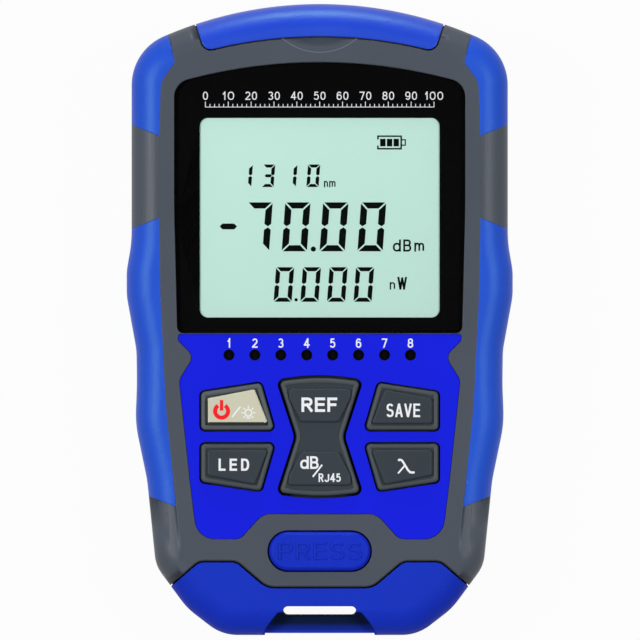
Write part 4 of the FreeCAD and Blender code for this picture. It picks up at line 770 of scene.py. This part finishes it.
def mark(name, outlines, thickness, ink, slot, *nodes):
    """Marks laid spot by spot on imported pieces; they ride on the body of the first."""
    made = plates(name, [evenly(outline) for outline in outlines], thickness)
    trees = support(*nodes)
    for vertex in made.data.vertices:
        vertex.co.z += height_at(trees, vertex.co.x, vertex.co.y)
    return finish_piece(made, body_of(nodes[0]), slot, ink)


def bow(x, y, across, up, start, end, steps=9, square=0.85):
    """Points on a slightly squared oval arc between two angles in degrees."""
    spots = []
    for number in range(steps + 1):
        angle = math.radians(start + (end - start) * number / steps)
        ahead = math.cos(angle)
        aloft = math.sin(angle)
        spots.append((x + across * math.copysign(abs(ahead) ** square, ahead),
                      y + up * math.copysign(abs(aloft) ** square, aloft)))
    return spots


STEM = [(0, 0), (0, 1)]
TOP_BAR = [(0, 1), (1, 1)]
FOOT_BAR = [(0, 0), (1, 0)]
GLYPHS = {
    "0": [bow(0.5, 0.5, 0.5, 0.5, 0, 360, 20)],
    "1": [[(0.15, 0.72), (0.75, 1.0)], [(0.8, 0), (0.8, 1.04)]],
    "2": [bow(0.5, 0.72, 0.47, 0.28, 165, -30) + [(0.03, 0.04)], FOOT_BAR],
    "3": [bow(0.48, 0.76, 0.44, 0.24, 155, -90), bow(0.48, 0.26, 0.5, 0.26, 90, -155)],
    "4": [[(0.74, 0), (0.74, 1.03)], [(0.68, 0.98), (0.04, 0.32)], [(-0.04, 0.27), (1.05, 0.27)]],
    "5": [[(0.92, 1), (0.17, 1), (0.08, 0.5)], bow(0.46, 0.33, 0.52, 0.33, 130, -155)],
    "6": [bow(0.5, 0.31, 0.5, 0.31, 0, 360, 18), bow(0.5, 0.5, 0.5, 0.5, 180, 40)],
    "7": [[(0, 1), (1, 1)], [(0.97, 0.97), (0.36, 0)]],
    "8": [bow(0.5, 0.77, 0.44, 0.23, 0, 360, 18), bow(0.5, 0.27, 0.5, 0.27, 0, 360, 18)],
    "9": [bow(0.5, 0.69, 0.5, 0.31, 0, 360, 18), bow(0.5, 0.5, 0.5, 0.5, 0, -140)],
    "A": [[(0, 0), (0.46, 1)], [(0.54, 1), (1, 0)], [(0.2, 0.27), (0.8, 0.27)]],
    "B": [STEM, [(0, 1)] + bow(0.5, 0.76, 0.43, 0.24, 90, -90) + [(0, 0.52)],
          [(0, 0.52)] + bow(0.55, 0.26, 0.45, 0.26, 90, -90) + [(0, 0)]],
    "D": [STEM, [(0, 1)] + bow(0.45, 0.5, 0.55, 0.5, 90, -90) + [(0, 0)]],
    "E": [STEM, TOP_BAR, [(0, 0.52), (0.92, 0.52)], FOOT_BAR],
    "F": [STEM, TOP_BAR, [(0, 0.5), (0.88, 0.5)]],
    "J": [[(1, 1)] + bow(0.5, 0.3, 0.5, 0.3, 0, -170)],
    "L": [STEM, FOOT_BAR],
    "P": [STEM, [(0, 1)] + bow(0.55, 0.73, 0.45, 0.27, 90, -90) + [(0, 0.46)]],
    "R": [STEM, [(0, 1)] + bow(0.55, 0.74, 0.43, 0.26, 90, -90) + [(0, 0.48)], [(0.5, 0.5), (1, 0)]],
    "S": [bow(0.5, 0.76, 0.46, 0.24, 20, 270), bow(0.5, 0.26, 0.5, 0.26, 90, -160)],
    "V": [[(0, 1), (0.46, 0)], [(0.54, 0), (1, 1)]],
    "W": [[(0, 1), (0.25, 0)], [(0.25, 0), (0.5, 0.95)], [(0.5, 0.95), (0.75, 0)], [(0.75, 0), (1, 1)]],
    "d": [bow(0.5, 0.34, 0.5, 0.34, 0, 360, 18), [(1, 0), (1, 1)]],
    "m": [STEM, [(0, 0.55)] + bow(0.26, 0.68, 0.24, 0.32, 170, 0, 6) + [(0.5, 0)],
          [(0.5, 0.55)] + bow(0.76, 0.68, 0.24, 0.32, 170, 0, 6) + [(1, 0)]],
    "n": [STEM, [(0, 0.5)] + bow(0.5, 0.65, 0.5, 0.35, 165, 0, 8) + [(1, 0)]],
}
GLYPH_WIDTHS = {"1": 0.55, "W": 1.5, "m": 1.6, "E": 0.92, "F": 0.88, "L": 0.86}
SQUARE_ENDED = "BDEFLPR"
END_SHARE = 0.499


def letters(text, left, bottom, right, top, line, gap=0.3):
    """Outlines of plain upright letters that fill a box; gap is a share of a letter's width."""
    shares = [GLYPH_WIDTHS.get(letter, 1.0) for letter in text]
    unit = (right - left) / (sum(shares) + gap * (len(text) - 1))
    height = top - bottom - line
    outlines = []
    start = left
    for letter, share in zip(text, shares):
        width = unit * share - line
        for path in GLYPHS[letter]:
            spots = [(start + line / 2 + x * width, bottom + line / 2 + y * height) for x, y in path]
            outlines += reached(spots, letter, line)
        start += unit * (share + gap)
    return outlines


def reached(spots, letter, line):
    """Band along a path whose straight ends reach out by half of its width, as a letter's corners do."""
    ends = [Vector(spot) for spot in spots]
    if len(spots) == 2 or letter in SQUARE_ENDED:
        ends[0] = ends[0] + (ends[0] - ends[1]).normalized() * line * END_SHARE
        ends[-1] = ends[-1] + (ends[-1] - ends[-2]).normalized() * line * END_SHARE
    return stroke(ends, line)


# Keys: the spots of an outer key's corners, and the half widths and the reach of the middle one

KEY_ROW_Y = -23.0
KEY_R = 0.9
KEY_CORNERS = ((8.8, 1.3), (23.3, 1.3), (23.3, 8.8), (11.5, 10.6))
KEYS = (("power_key", -1, 1), ("led_key", -1, -1), ("save_key", 1, 1), ("wavelength_key", 1, -1))
ROCKER_TOP, ROCKER_WAIST, ROCKER_REACH = 7.95, 5.05, 10.9
ROCKER_WAIST_R, ROCKER_CROWN, ROCKER_CROWN_R = 4.0, 1.0, 40.0
WAIST_HALF, WAIST_REACH, WAIST_PULL = 7.6 * MM, 9.5 * MM, 0.104


def key_outline(side, row):
    """Outline of an outer key: side is +1 or -1 across, row is +1 for the upper row."""
    return turned_outline([(side * x, KEY_ROW_Y + row * y, KEY_R) for x, y in KEY_CORNERS])


def rocker_outline():
    """Outline of the waisted middle key."""
    right = [(ROCKER_TOP, KEY_ROW_Y + ROCKER_REACH, KEY_R), (ROCKER_WAIST, KEY_ROW_Y, ROCKER_WAIST_R),
             (ROCKER_TOP, KEY_ROW_Y - ROCKER_REACH, KEY_R)]
    head, foot = [(0, KEY_ROW_Y + row * (ROCKER_REACH + ROCKER_CROWN), ROCKER_CROWN_R) for row in (1, -1)]
    return turned_outline([head] + right + [foot] + other_side(right))


def waisted(made):
    """Draws in the waist of the middle key and of its hole in the film."""
    for vertex in made.data.vertices:
        away = abs(vertex.co.y - KEY_ROW_Y * MM)
        if away < WAIST_REACH and abs(vertex.co.x) < WAIST_HALF:
            vertex.co.x *= 1 - WAIST_PULL * (1 - away / WAIST_REACH)


def bead(name, outline, inset, width, height, *nodes):
    """Rounded bead along an outline in metres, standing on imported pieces."""
    steps, root = 6, 0.06 * MM
    trees = support(*nodes)
    feet = [height_at(trees, spot.x, spot.y) for spot in moved_outline(outline, -inset)]
    rings = []
    for number in range(steps + 1):
        along = -1 + 2 * number / steps
        lift = height * math.sqrt(1 - along * along) - (root if number in (0, steps) else 0.0)
        ring = moved_outline(outline, -inset + along * width / 2)
        rings.append([Vector((spot.x, spot.y, foot + lift)) for spot, foot in zip(ring, feet)])
    return smoothed(lofted(name, rings, ends=False), 60.0, weighted=False)


# Marks of the display

SEGMENTS = {"0": "abcdef", "1": "bc", "3": "abcdg", "7": "abc"}
LEAN = 0.075


def turned_round(spots, width, height):
    """A shape turned half round in a box."""
    return [(width - x, height - y) for x, y in spots]


def segment_shapes(width, height, upright, level, gap):
    """Outlines of the seven segments of an upright figure."""
    slit = gap / 2
    middle = height / 2
    blunt, tip, shy = upright * 0.35, upright * 0.45, upright * 0.6
    top = [(gap, height), (width - gap, height), (width - gap - level, height - level),
           (gap + level, height - level)]
    flank = [(width, height - gap), (width - upright, height - gap - upright),
             (width - upright, middle + slit + blunt), (width - tip, middle + slit),
             (width, middle + slit + blunt)]
    near = shy + slit
    half = [(near, middle), (near + level / 2, middle + level / 2),
            (width - near - level / 2, middle + level / 2)]
    return {"a": top, "d": [(x, height - y) for x, y in top],
            "b": flank, "c": [(x, height - y) for x, y in flank],
            "f": [(width - x, y) for x, y in flank], "e": turned_round(flank, width, height),
            "g": half + turned_round(half, width, height)}


def figures(text, lefts, bottom, width, height, upright, level, gap):
    """Outlines of a row of seven-segment figures, leaning a little."""
    shapes = segment_shapes(width, height, upright, level, gap)
    return [[(left + x + LEAN * y, bottom + y) for x, y in shapes[name]]
            for figure, left in zip(text, lefts) for name in SEGMENTS[figure]]


def disc(centre, radius, steps=20):
    """Outline of a round dot."""
    return arc_spots(centre, radius, 0, 360 - 360 / steps, steps - 1)


def battery_symbol():
    """Outlines of the display's battery sign: a frame open at its left, a nub and three bars."""
    left, bottom, right, top = 11.26, 33.32, 16.12, 36.08
    line, lip = 0.3, 0.8
    nub, nub_line, nub_low, nub_high = 0.77, 0.24, 34.05, 35.1
    bar_low, bar_high, bar_width, bars = 33.93, 35.42, 1.05, (11.85, 13.17, 14.48)
    boxes = [(left, top - line, right, top), (left, bottom, right, bottom + line),
             (right - line, bottom + line, right, top - line),
             (left, top - lip, left + line, top - line),
             (left, bottom + line, left + line, bottom + lip),
             (right, nub_high, right + nub, nub_high + nub_line),
             (right, nub_low, right + nub, nub_low + nub_line),
             (right + nub - nub_line, nub_low + nub_line, right + nub, nub_high)]
    return [rectangle(*box) for box in boxes + [(x, bar_low, x + bar_width, bar_high) for x in bars]]


def sun_symbol(centre, ring, reach, line):
    """Outlines of a lamp sign: a ring with rays and a bar under it."""
    gap, bar_half, bar_low, bar_high, ray_share = 0.22, 0.45, 1.14, 0.92, 0.8
    outlines = []
    for start in (0, 90, 180, 270):
        outlines += stroke(arc_spots(centre, ring, start, start + 90, 6), line)
    for number in (0, 1, 2, 3, 4, 5, 7):
        ray = [arc_spots(centre, away, 45 * number, 45 * number, 1)[0] for away in (ring + gap, reach)]
        outlines += stroke(ray, line * ray_share)
    x, y = centre
    return outlines + [rectangle(x - bar_half, y - bar_low, x + bar_half, y - bar_high)]


# Places of the prints in millimetres, seen from the front

# Words: text, left, foot, right, top, line, and the gap as a share of a letter's width
BUTTON_WORD = ("PRESS", -8.03, -47.07, 8.21, -43.65, 0.42)
UNITS = (("dB", 14.34, 13.30, 17.95, 15.69, 0.36), ("m", 18.55, 13.30, 20.47, 15.05, 0.34),
         ("nm", 0.84, 25.9, 3.10, 27.15, 0.24), ("n", 13.73, 5.86, 14.79, 7.31, 0.28),
         ("W", 15.24, 5.86, 17.10, 8.35, 0.4))

# Figures of the display: text, left edges, foot, width, height, upright line, level line, slit
READINGS = (("7000", (-14.87, -7.46, -0.04, 7.39), 13.36, 4.95, 9.60, 1.32, 1.2, 0.22),
            ("1310", (-15.82, -11.44, -7.08, -2.62), 25.96, 2.4, 4.42, 0.68, 0.6, 0.12),
            ("0000", (-9.05, -3.80, 1.43, 6.62), 3.47, 3.55, 6.78, 0.88, 0.80, 0.16))
MINUS = [(-19.61, 18.24), (-19.05, 18.81), (-16.76, 18.81), (-16.20, 18.24), (-16.76, 17.67), (-19.05, 17.67)]
POINTS = (((-1.25, 13.81), 0.51), ((-4.62, 3.86), 0.33))

# Lamps: their number, half the width of a digit and of the narrow first one, and the wells' line
LAMPS = 8
DIGIT_HALF, FIRST_HALF = 0.54, 0.32
DIGIT_FOOT, DIGIT_TOP, DIGIT_LINE = -5.54, -3.72, 0.27
WELL_GAP, WELL_LINE = 0.04, 0.14

# Power key: the painted shadow along the lower and left edges of its cap, the slash, and the lamp sign's
# centre, ring, reach and line
CAP_SHADOW = ([(-22.2, -20.6), (-10.1, -20.6), (-9.9, -20.1), (-22.2, -20.1)],
           rectangle(-22.2, -20.6, -21.9, -15.6))
CAP_SLASH = ([(-17.18, -19.12), (-15.53, -17.08)], 0.31)
CAP_SUN = ((-13.97, -18.28), 0.66, 1.4, 0.27)

# Other keys: piece, key, words, and lines with their width
KEY_MARKS = (
    ("save_mark", "save_key", [("SAVE", 13.05, -19.12, 19.67, -16.47, 0.39, 0.22)], []),
    ("led_mark", "led_key", [("LED", -19.81, -29.64, -13.81, -27.25, 0.44, 0.5)], []),
    ("centre_marks", "centre_key",
     [("REF", -3.57, -18.10, 3.43, -15.28, 0.54, 0.2), ("dB", -3.82, -29.27, -0.22, -26.78, 0.42, 0.15),
      ("RJ45", -0.22, -31.83, 4.15, -30.15, 0.28, 0.2)],
     [([(-1.37, -30.83), (0.47, -28.48)], 0.34)]),
    ("wavelength_mark", "wavelength_key", [],
     [([(15.35, -27.62), (15.7, -27.45), (16.1, -27.6), (16.45, -28.1), (17.3, -29.5), (17.7, -29.9),
        (18.1, -29.98), (18.6, -29.92)], 0.42),
      ([(16.75, -28.5), (15.35, -30.15)], 0.33)]),
)


# Operators

class MeterOperator:
    """What the operators share."""
    bl_options = {"REGISTER", "UNDO"}

    @property
    def sizes(self):
        return bpy.context.scene.meter_sizes


class METER_OT_case(MeterOperator, bpy.types.Operator):
    """Build the finish of the two shells, the battery door and the screws"""
    bl_idname = "meter.case"
    bl_label = "Case"

    def execute(self, context):
        for node in ("front_shell", "rear_shell", "battery_door"):
            dress_node(node, "shell_plastic", 0.0)
        dress_node("port_plate", "black_plastic", self.sizes.panel_edge)
        for node in ("case_screws", "battery_door_screw"):
            crossed_screws(node, "steel")
        scoop_rim(self.sizes.print_height * 2)
        return {"FINISHED"}


def islands(mesh):
    """Corner sets of the separate solids in a mesh."""
    left = set(range(len(mesh.vertices)))
    near = {index: [] for index in left}
    for edge in mesh.edges:
        first, second = edge.vertices
        near[first].append(second)
        near[second].append(first)
    while left:
        found = []
        open_ends = [left.pop()]
        while open_ends:
            here = open_ends.pop()
            found.append(mesh.vertices[here].co)
            for follow in near[here]:
                if follow in left:
                    left.discard(follow)
                    open_ends.append(follow)
        yield found


def crossed_screws(node, finish):
    """Copy of packed screws whose round heads have a cross recess."""
    arm, half, depth, head_edge = 1.35, 0.34, 0.8, 0.25 * MM
    made = dressed(node, node + "_finish", head_edge)
    cutters = []
    for corners in islands(made.data):
        xs = [corner.x for corner in corners]
        ys = [corner.y for corner in corners]
        foot = min(corner.z for corner in corners)
        x, y = Vector(((min(xs) + max(xs)) / 2, (min(ys) + max(ys)) / 2)) / MM
        bars = [rectangle(x - across, y - along, x + across, y + along)
                for across, along in ((arm, half), (half, arm))]
        cutters.append(raised(plates(node + "_cross", bars, depth * MM * 2), foot - depth * MM))
        carve = made.modifiers.new("recess", "BOOLEAN")
        carve.object = cutters[-1]
        carve.operation = "DIFFERENCE"
        carve.solver = "EXACT"
    graph = bpy.context.evaluated_depsgraph_get()
    carved = bpy.data.meshes.new_from_object(made.evaluated_get(graph))
    made.modifiers.clear()
    made.data = carved
    for cutter in cutters:
        bpy.data.objects.remove(cutter)
    return finish_piece(smoothed(made), body_of(node), slot_of(node), finish, node)


def scoop_rim(thick):
    """Thin raised band on the rim of the thumb scoop below the cover, much paler than the shell: a painted
    highlight.
    """
    half, reach, foot, line = 7.3, 2.75, 52.35, 0.18
    radius = arc_radius(half, reach)
    sweep = math.degrees(math.asin(half / radius))
    spots = arc_spots((0.0, foot + radius), radius, 270 - sweep, 270 + sweep, 28)
    made = plates("scoop_rim", stroke(spots, line), thick)
    raised(made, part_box("front_shell")[1].z - thick / 4)
    finish_piece(made, "meter", "shell_grey", "rim_plastic")


class METER_OT_grips(MeterOperator, bpy.types.Operator):
    """Build the rubber over the corners and flanks"""
    bl_idname = "meter.grips"
    bl_label = "Grips"

    def execute(self, context):
        for node in ("corner_grip_right", "corner_grip_left", "side_grip_right", "side_grip_left"):
            dress_node(node, "grip_rubber", self.sizes.grip_edge)
        return {"FINISHED"}


class METER_OT_cover(MeterOperator, bpy.types.Operator):
    """Build the hinged cover over the ports"""
    bl_idname = "meter.cover"
    bl_label = "Port cover"

    def execute(self, context):
        dress_node("top_cover", "cover_rubber", 0.0)
        finish_node("cover_hinge_pin", "steel")
        self.seal()
        return {"FINISHED"}

    def seal(self):
        """Dark band on the brow's edge, along the arched lip of the cover: painted shade in the gap under the
        lip.
        """
        half, arch, lip, reach, inset, line = 22.5, 2.9, 52.6, 20.3, 0.17, 0.22
        radius = arc_radius(half, arch)
        sweep = math.degrees(math.asin(reach / radius))
        spots = arc_spots((0.0, lip + arch - radius), radius - inset, 90 - sweep, 90 + sweep, 40)
        low, high = self.sizes.lip_shade_low, self.sizes.lip_shade_high
        made = raised(plates("lip_seal", stroke(spots, line), high - low), low)
        finish_piece(made, "meter", "socket_black", "black_plastic")


class METER_OT_remote(MeterOperator, bpy.types.Operator):
    """Build the remote, its latch and the release button"""
    bl_idname = "meter.remote"
    bl_label = "Remote"

    def execute(self, context):
        for node in ("remote_front_shell", "remote_rear_shell"):
            dress_node(node, "remote_plastic", self.sizes.remote_edge)
        dress_node("latch_arm", "black_plastic", self.sizes.panel_edge)
        dress_node("release_button", "button_rubber", self.sizes.panel_edge, held=False)
        mark("button_word", letters(*BUTTON_WORD), self.sizes.emboss, "button_rubber", "button_blue",
             "release_button")
        springy("release_spring", "steel", "release_button_press")
        finish_node("button_guide", "white_plastic")
        self.seal()
        return {"FINISHED"}

    def seal(self):
        """Dark band on the case's end along the remote's seam, painted shade in the gap, with a thin dark line
        on the face beside it, a painted shadow.
        """
        out, width = 0.18, 0.23
        low, high = self.sizes.seam_shade_low, self.sizes.seam_shade_high
        made = raised(plates("seam_seal", self.band(out, width), high - low), low)
        finish_piece(made, "meter", "socket_black", "black_plastic")
        # Painted shadow: a thin dark line on the face just outside the seam
        out, width, reach = 0.42, 0.24, 28.2
        quads = [quad for quad in self.band(out, width) if all(abs(x) < reach for x, _ in quad)]
        mark("seam_lip", quads, self.sizes.print_height, "black_plastic", "socket_black", "front_shell")

    def band(self, out, width):
        """Band of a width that lies outside the remote's seam."""
        middle, inner, outer = (10.4, -52.7, 4.5), (16.4, -47.6, 2.6), (23.6, -47.6, 2.6)
        run_out, bottom, flank = 34.0, -70.0, math.tan(math.radians(40.7))
        reach, lowest = 29.3, -54.0
        right = [middle, inner, outer,
                 (run_out, outer[1] - (run_out - outer[0]) * flank, 0), (run_out, bottom, 0)]
        seam = turned_outline(other_side(right) + right)
        edge = evenly([spot / MM for spot in moved_outline(seam, out * MM)])
        return stroke([spot for spot in edge if abs(spot.x) < reach and spot.y > lowest], width)


class METER_OT_display(MeterOperator, bpy.types.Operator):
    """Build the lens, its black print and scale, and the liquid crystal display"""
    bl_idname = "meter.display"
    bl_label = "Display"

    def execute(self, context):
        dress_node("display_lens", "lens_acrylic", 0.0)
        for node, finish in (("lens_mask", "lens_print"), ("lcd_glass", "screen_glass"),
                             ("lcd_backlight", "white_plastic"), ("lcd_frame", "white_plastic")):
            finish_node(node, finish)
        outlines = [outline for reading in READINGS for outline in figures(*reading)]
        outlines.append(MINUS)
        outlines += [disc(centre, radius) for centre, radius in POINTS]
        outlines += battery_symbol()
        units = [outline for unit in UNITS for outline in letters(*unit)]
        for name, marks in (("screen_figures", outlines), ("screen_units", units)):
            mark(name, marks, self.sizes.print_height, "segment_ink", "mask_black", "lcd_glass")
        mark("lens_scale", self.scale(), self.sizes.print_height, "white_ink", "mask_black", "lens_mask")
        return {"FINISHED"}

    def scale(self):
        """Outlines of a graduated scale with plain numbers over the window."""
        half, foot, base, line, short, tall = 22.4, 41.7, 0.12, 0.07, 0.55, 1.0
        marks, group, digit, gap, low, high, digit_line = 50, 5, 1.3, 0.3, 1.35, 2.95, 0.2
        step = (half + half) / marks
        outlines = [rectangle(-half - line, foot - base, half + line, foot)]
        for number in range(marks + 1):
            x = -half + step * number
            rise = short if number % group else tall
            outlines.append(rectangle(x - line, foot, x + line, foot + rise))
            if number % group == 0:
                text = str(number * 2)
                wide = (len(text) * digit - gap) / 2
                outlines += letters(text, x - wide, foot + low, x + wide, foot + high, digit_line)
        return outlines


class METER_OT_keypad(MeterOperator, bpy.types.Operator):
    """Build the keypad film, the keys and the lamps"""
    bl_idname = "meter.keypad"
    bl_label = "Keypad"

    def execute(self, context):
        dress_node("keypad_panel", "panel_film", self.sizes.panel_edge)
        for node in ("power_key", "led_key", "save_key", "wavelength_key", "centre_key"):
            dress_node(node, "key_silicone", self.sizes.panel_edge, angle=24.0, held=False)
        dress_node("power_key_cap", "cap_silicone", self.sizes.panel_edge, held=False)
        finish_node("indicator_lights", "lamp_plastic")
        for node, side, row in KEYS:
            # The power key's bead takes the paler copy of the rim colour, a painted highlight
            self.rim(node, key_outline(side, row), "pale_silicone" if node == "power_key" else "rim_silicone")
        for made in (bpy.data.objects["centre_key_finish"], bpy.data.objects["keypad_panel_finish"],
                     self.rim("centre_key", rocker_outline(), "rim_silicone")):
            waisted(made)
        # Painted shadow: black strips along the lower and left edges of the power key's cap
        mark("cap_gap", CAP_SHADOW, self.sizes.print_height, "black_plastic", "socket_black",
             "power_key", "power_key_cap")
        return {"FINISHED"}

    def rim(self, node, outline, finish):
        """Raised bead round the edge of a key."""
        made = bead(node + "_bead", outline, self.sizes.bead_inset, self.sizes.bead_width,
                    self.sizes.bead_height, node)
        return finish_piece(made, body_of(node), "key_grey", finish)


class METER_OT_legends(MeterOperator, bpy.types.Operator):
    """Print the plain marks on the keys and the film"""
    bl_idname = "meter.legends"
    bl_label = "Legends"

    def execute(self, context):
        thick = self.sizes.print_height
        self.lamps(thick)
        mark("power_mark", self.power_sign(), thick, "red_ink", "cap_cream", "power_key_cap")
        mark("lamp_mark", stroke(*CAP_SLASH) + sun_symbol(*CAP_SUN), thick, "white_ink", "cap_cream",
             "power_key_cap")
        for name, node, words, lines in KEY_MARKS:
            outlines = [outline for word in words for outline in letters(*word)]
            outlines += [outline for line in lines for outline in stroke(*line)]
            mark(name, outlines, thick, "white_ink", "key_grey", node)
        return {"FINISHED"}

    def lamps(self, thick):
        """Dark wells round the lamps, and their numbers."""
        low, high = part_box("indicator_lights")
        width = (high.y - low.y) / MM
        first, middle = low.x / MM + width / 2, (high.y + low.y) / 2 / MM
        pitch = ((high.x - low.x) / MM - width) / (LAMPS - 1)
        digits = []
        wells = []
        for number in range(LAMPS):
            x = first + pitch * number
            half = DIGIT_HALF if number else FIRST_HALF
            digits += letters(str(number + 1), x - half, DIGIT_FOOT, x + half, DIGIT_TOP, DIGIT_LINE)
            wells += stroke(arc_spots((x, middle), width / 2 + WELL_GAP, 0, 360, 24), WELL_LINE)
        mark("lamp_wells", wells, thick / 2, "lamp_plastic", "panel_blue", "keypad_panel")
        mark("lamp_digits", digits, thick, "white_ink", "panel_blue", "keypad_panel")

    def power_sign(self):
        """Outlines of a ring that is open at its top, with a bar in the opening."""
        x, y, radius, start, end, line = -19.22, -17.96, 1.27, 122, 418, 0.8
        bar_half, bar_low, bar_high = 0.33, 0.1, 2.18
        return (stroke(arc_spots((x, y), radius, start, end, 24), line)
                + [rectangle(x - bar_half, y + bar_low, x + bar_half, y + bar_high)])


class METER_OT_ports(MeterOperator, bpy.types.Operator):
    """Build the optical ports, the lamp and the network socket"""
    bl_idname = "meter.ports"
    bl_label = "Ports"

    def execute(self, context):
        dress_node("optical_adapter", "nickel", self.sizes.panel_edge)
        self.thread()
        dress_node("laser_port", "nickel", self.sizes.panel_edge)
        dress_node("torch_led", "torch_plastic", self.sizes.panel_edge)
        for node, finish in (("adapter_sleeve", "ceramic"), ("detector_module", "satin_metal"),
                             ("laser_module", "satin_metal"), ("network_jack", "black_plastic"),
                             ("network_jack_contacts", "gold"), ("remote_jack", "black_plastic"),
                             ("remote_jack_contacts", "gold"), ("remote_carrier", "black_plastic")):
            finish_node(node, finish)
        return {"FINISHED"}

    def thread(self):
        """Outer thread of the optical adapter."""
        low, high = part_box("optical_adapter")
        across, up = (low.x + high.x) / 2, (low.z + high.z) / 2
        radius, height, sunk = 4.0 * MM, 0.2 * MM, 0.05 * MM
        start, end = high.y - 3.75 * MM, high.y - 2.05 * MM
        pitch, steps, fade, root, crest = self.sizes.thread_pitch, 40, 8, 0.36, 0.06
        count = round((end - start) / pitch * steps)
        rings = []
        for number in range(count + 1):
            angle = math.tau * number / steps
            along = start + pitch * number / steps
            rise = height * min(1.0, number / fade, (count - number) / fade)
            out = Vector((math.cos(angle), 0, math.sin(angle)))
            rings.append([Vector((across, along + shift * pitch, up)) + out * (radius + reach)
                          for shift, reach in ((-root, -sunk), (-crest, rise), (crest, rise), (root, -sunk))])
        made = smoothed(lofted("adapter_thread", rings), 40.0, weighted=False)
        finish_piece(made, "meter", slot_of("optical_adapter"), "nickel")


class METER_OT_inside(MeterOperator, bpy.types.Operator):
    """Give the board, key domes and cells their finishes"""
    bl_idname = "meter.inside"
    bl_label = "Inside"

    def execute(self, context):
        finish_node("main_board", "board")
        finish_node("battery_contacts", "steel")
        for key in ("power", "led", "save", "wavelength"):
            springy(key + "_dome", "steel", key + "_key_press")
        for key in ("ref", "db"):
            springy(key + "_dome", "steel", "centre_key_rock", ROCKER_ARM)
        for number in (1, 2, 3):
            finish_node(f"battery_{number}", "cell_sleeve")
        return {"FINISHED"}


# Soft boxes: the place of the middle or right one, in metres, and its size
FRONT_BOX = ((0.85, 0.1, 1.45), 0.4)
SIDE_BOX = ((1.0, 0.15, 1.25), 0.25)
TOP_BOX = ((0.0, 1.55, 0.27), 0.25)


class METER_OT_studio(MeterOperator, bpy.types.Operator):
    """Set up the floor, the lights, the world and the camera"""
    bl_idname = "meter.studio"
    bl_label = "Studio"

    def execute(self, context):
        studio = context.scene.meter_studio
        self.floor()
        self.world(studio.world_level)
        for side, across, share in (("left", -1, 1.0), ("right", 1, studio.right_share)):
            self.lamp(side + "_front_light", across, FRONT_BOX, studio.front_power)
            self.lamp(side + "_light", across, SIDE_BOX, studio.side_power * share)
        self.lamp("top_light", 1, TOP_BOX, studio.top_power)
        self.camera(studio)
        context.scene.view_settings.view_transform = "Standard"
        return {"FINISHED"}

    def floor(self):
        """Pale sweep under the object that keeps a faint shadow."""
        reach, level, glow_share = 6.0, -0.4 * MM, 0.96
        spots = [(x, y, level) for x, y in rectangle(-reach, -reach, reach, reach)]
        made = mesh_object("floor", spots, [(0, 1, 2, 3)])
        graph = Graph(bpy.data.materials.new("floor_paper"))
        tone = graph.mix(graph.noise(4 * MM, 2.0), (0.45, 0.45, 0.45), (0.5, 0.5, 0.5))
        paper = graph.shader(Base_Color=tone, Roughness=0.9, Specular_IOR_Level=0.0)
        glow = graph.node("ShaderNodeEmission", {}, {"Color": (1.0, 1.0, 1.0), "Strength": 1.0})
        made.data.materials.append(graph.show(graph.blend(graph.seen() * glow_share, paper, glow)))

    def world(self, level):
        """Even white light from the sides and less from straight above; white where it is seen."""
        aside, aloft, aloft_share = 0.6, 0.95, 0.1
        made = bpy.data.worlds.new("studio_world")
        bpy.context.scene.world = made
        graph = Graph(made)
        up = graph.parts(graph.node("ShaderNodeTexCoord", output="Generated"))[2]
        fade = graph.node("ShaderNodeMapRange", {}, {"Value": up, "From Min": aside, "From Max": aloft,
                                                     "To Min": level, "To Max": level * aloft_share})
        wall = graph.node("ShaderNodeMapRange", {}, {"Value": up, "From Min": aloft, "From Max": aside})
        light, white = [graph.node("ShaderNodeBackground", {}, {"Color": (1.0, 1.0, 1.0), "Strength": strength})
                        for strength in (fade, 1.0)]
        graph.show(graph.blend(graph.seen(wall), light, white))

    def lamp(self, name, across, box, power):
        """Square soft box that looks at the object; across is -1 on the left."""
        (x, y, z), size = box
        place = (across * x, y, z)
        light = bpy.data.lights.new(name, "AREA")
        light.size = size
        light.energy = power
        made = new_object(name, light)
        made.location = place
        made.rotation_euler = (-Vector(place)).to_track_quat("-Z", "Y").to_euler()

    def camera(self, studio):
        """Camera straight over the face."""
        aim_x, aim_y = 0.06 * MM, -0.1 * MM
        lens = bpy.data.cameras.new("camera")
        made = new_object("camera", lens)
        made.location = (aim_x, aim_y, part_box("display_lens")[1].z + studio.camera_distance)
        lens.lens = lens.sensor_width * studio.camera_distance / studio.view_width
        lens.clip_end = studio.camera_distance * 3
        bpy.context.scene.camera = made


OPERATORS = (METER_OT_case, METER_OT_grips, METER_OT_cover, METER_OT_remote, METER_OT_display,
             METER_OT_keypad, METER_OT_legends, METER_OT_ports, METER_OT_inside, METER_OT_studio)


class METER_PT_parts(bpy.types.Panel):
    """Lists the pieces that can be built"""
    bl_idname = "METER_PT_parts"
    bl_label = "Optical power meter"
    bl_space_type = "VIEW_3D"
    bl_region_type = "UI"
    bl_category = "Meter"

    def draw(self, context):
        for operator in OPERATORS:
            self.layout.operator(operator.bl_idname)


GROUPS = {"meter_colours": MeterColours, "meter_sizes": MeterSizes, "meter_studio": MeterStudio}


def register():
    for name, group in GROUPS.items():
        bpy.utils.register_class(group)
        setattr(bpy.types.Scene, name, PointerProperty(type=group))
    for item in (*OPERATORS, METER_PT_parts):
        bpy.utils.register_class(item)


def unregister():
    for item in (METER_PT_parts, *OPERATORS):
        bpy.utils.unregister_class(item)
    for name, group in GROUPS.items():
        delattr(bpy.types.Scene, name)
        bpy.utils.unregister_class(group)


def main():
    """Builds everything in order."""
    register()
    for operator in OPERATORS:
        group, name = operator.bl_idname.split(".")
        getattr(getattr(bpy.ops, group), name)()


if __name__ == "__main__":
    main()
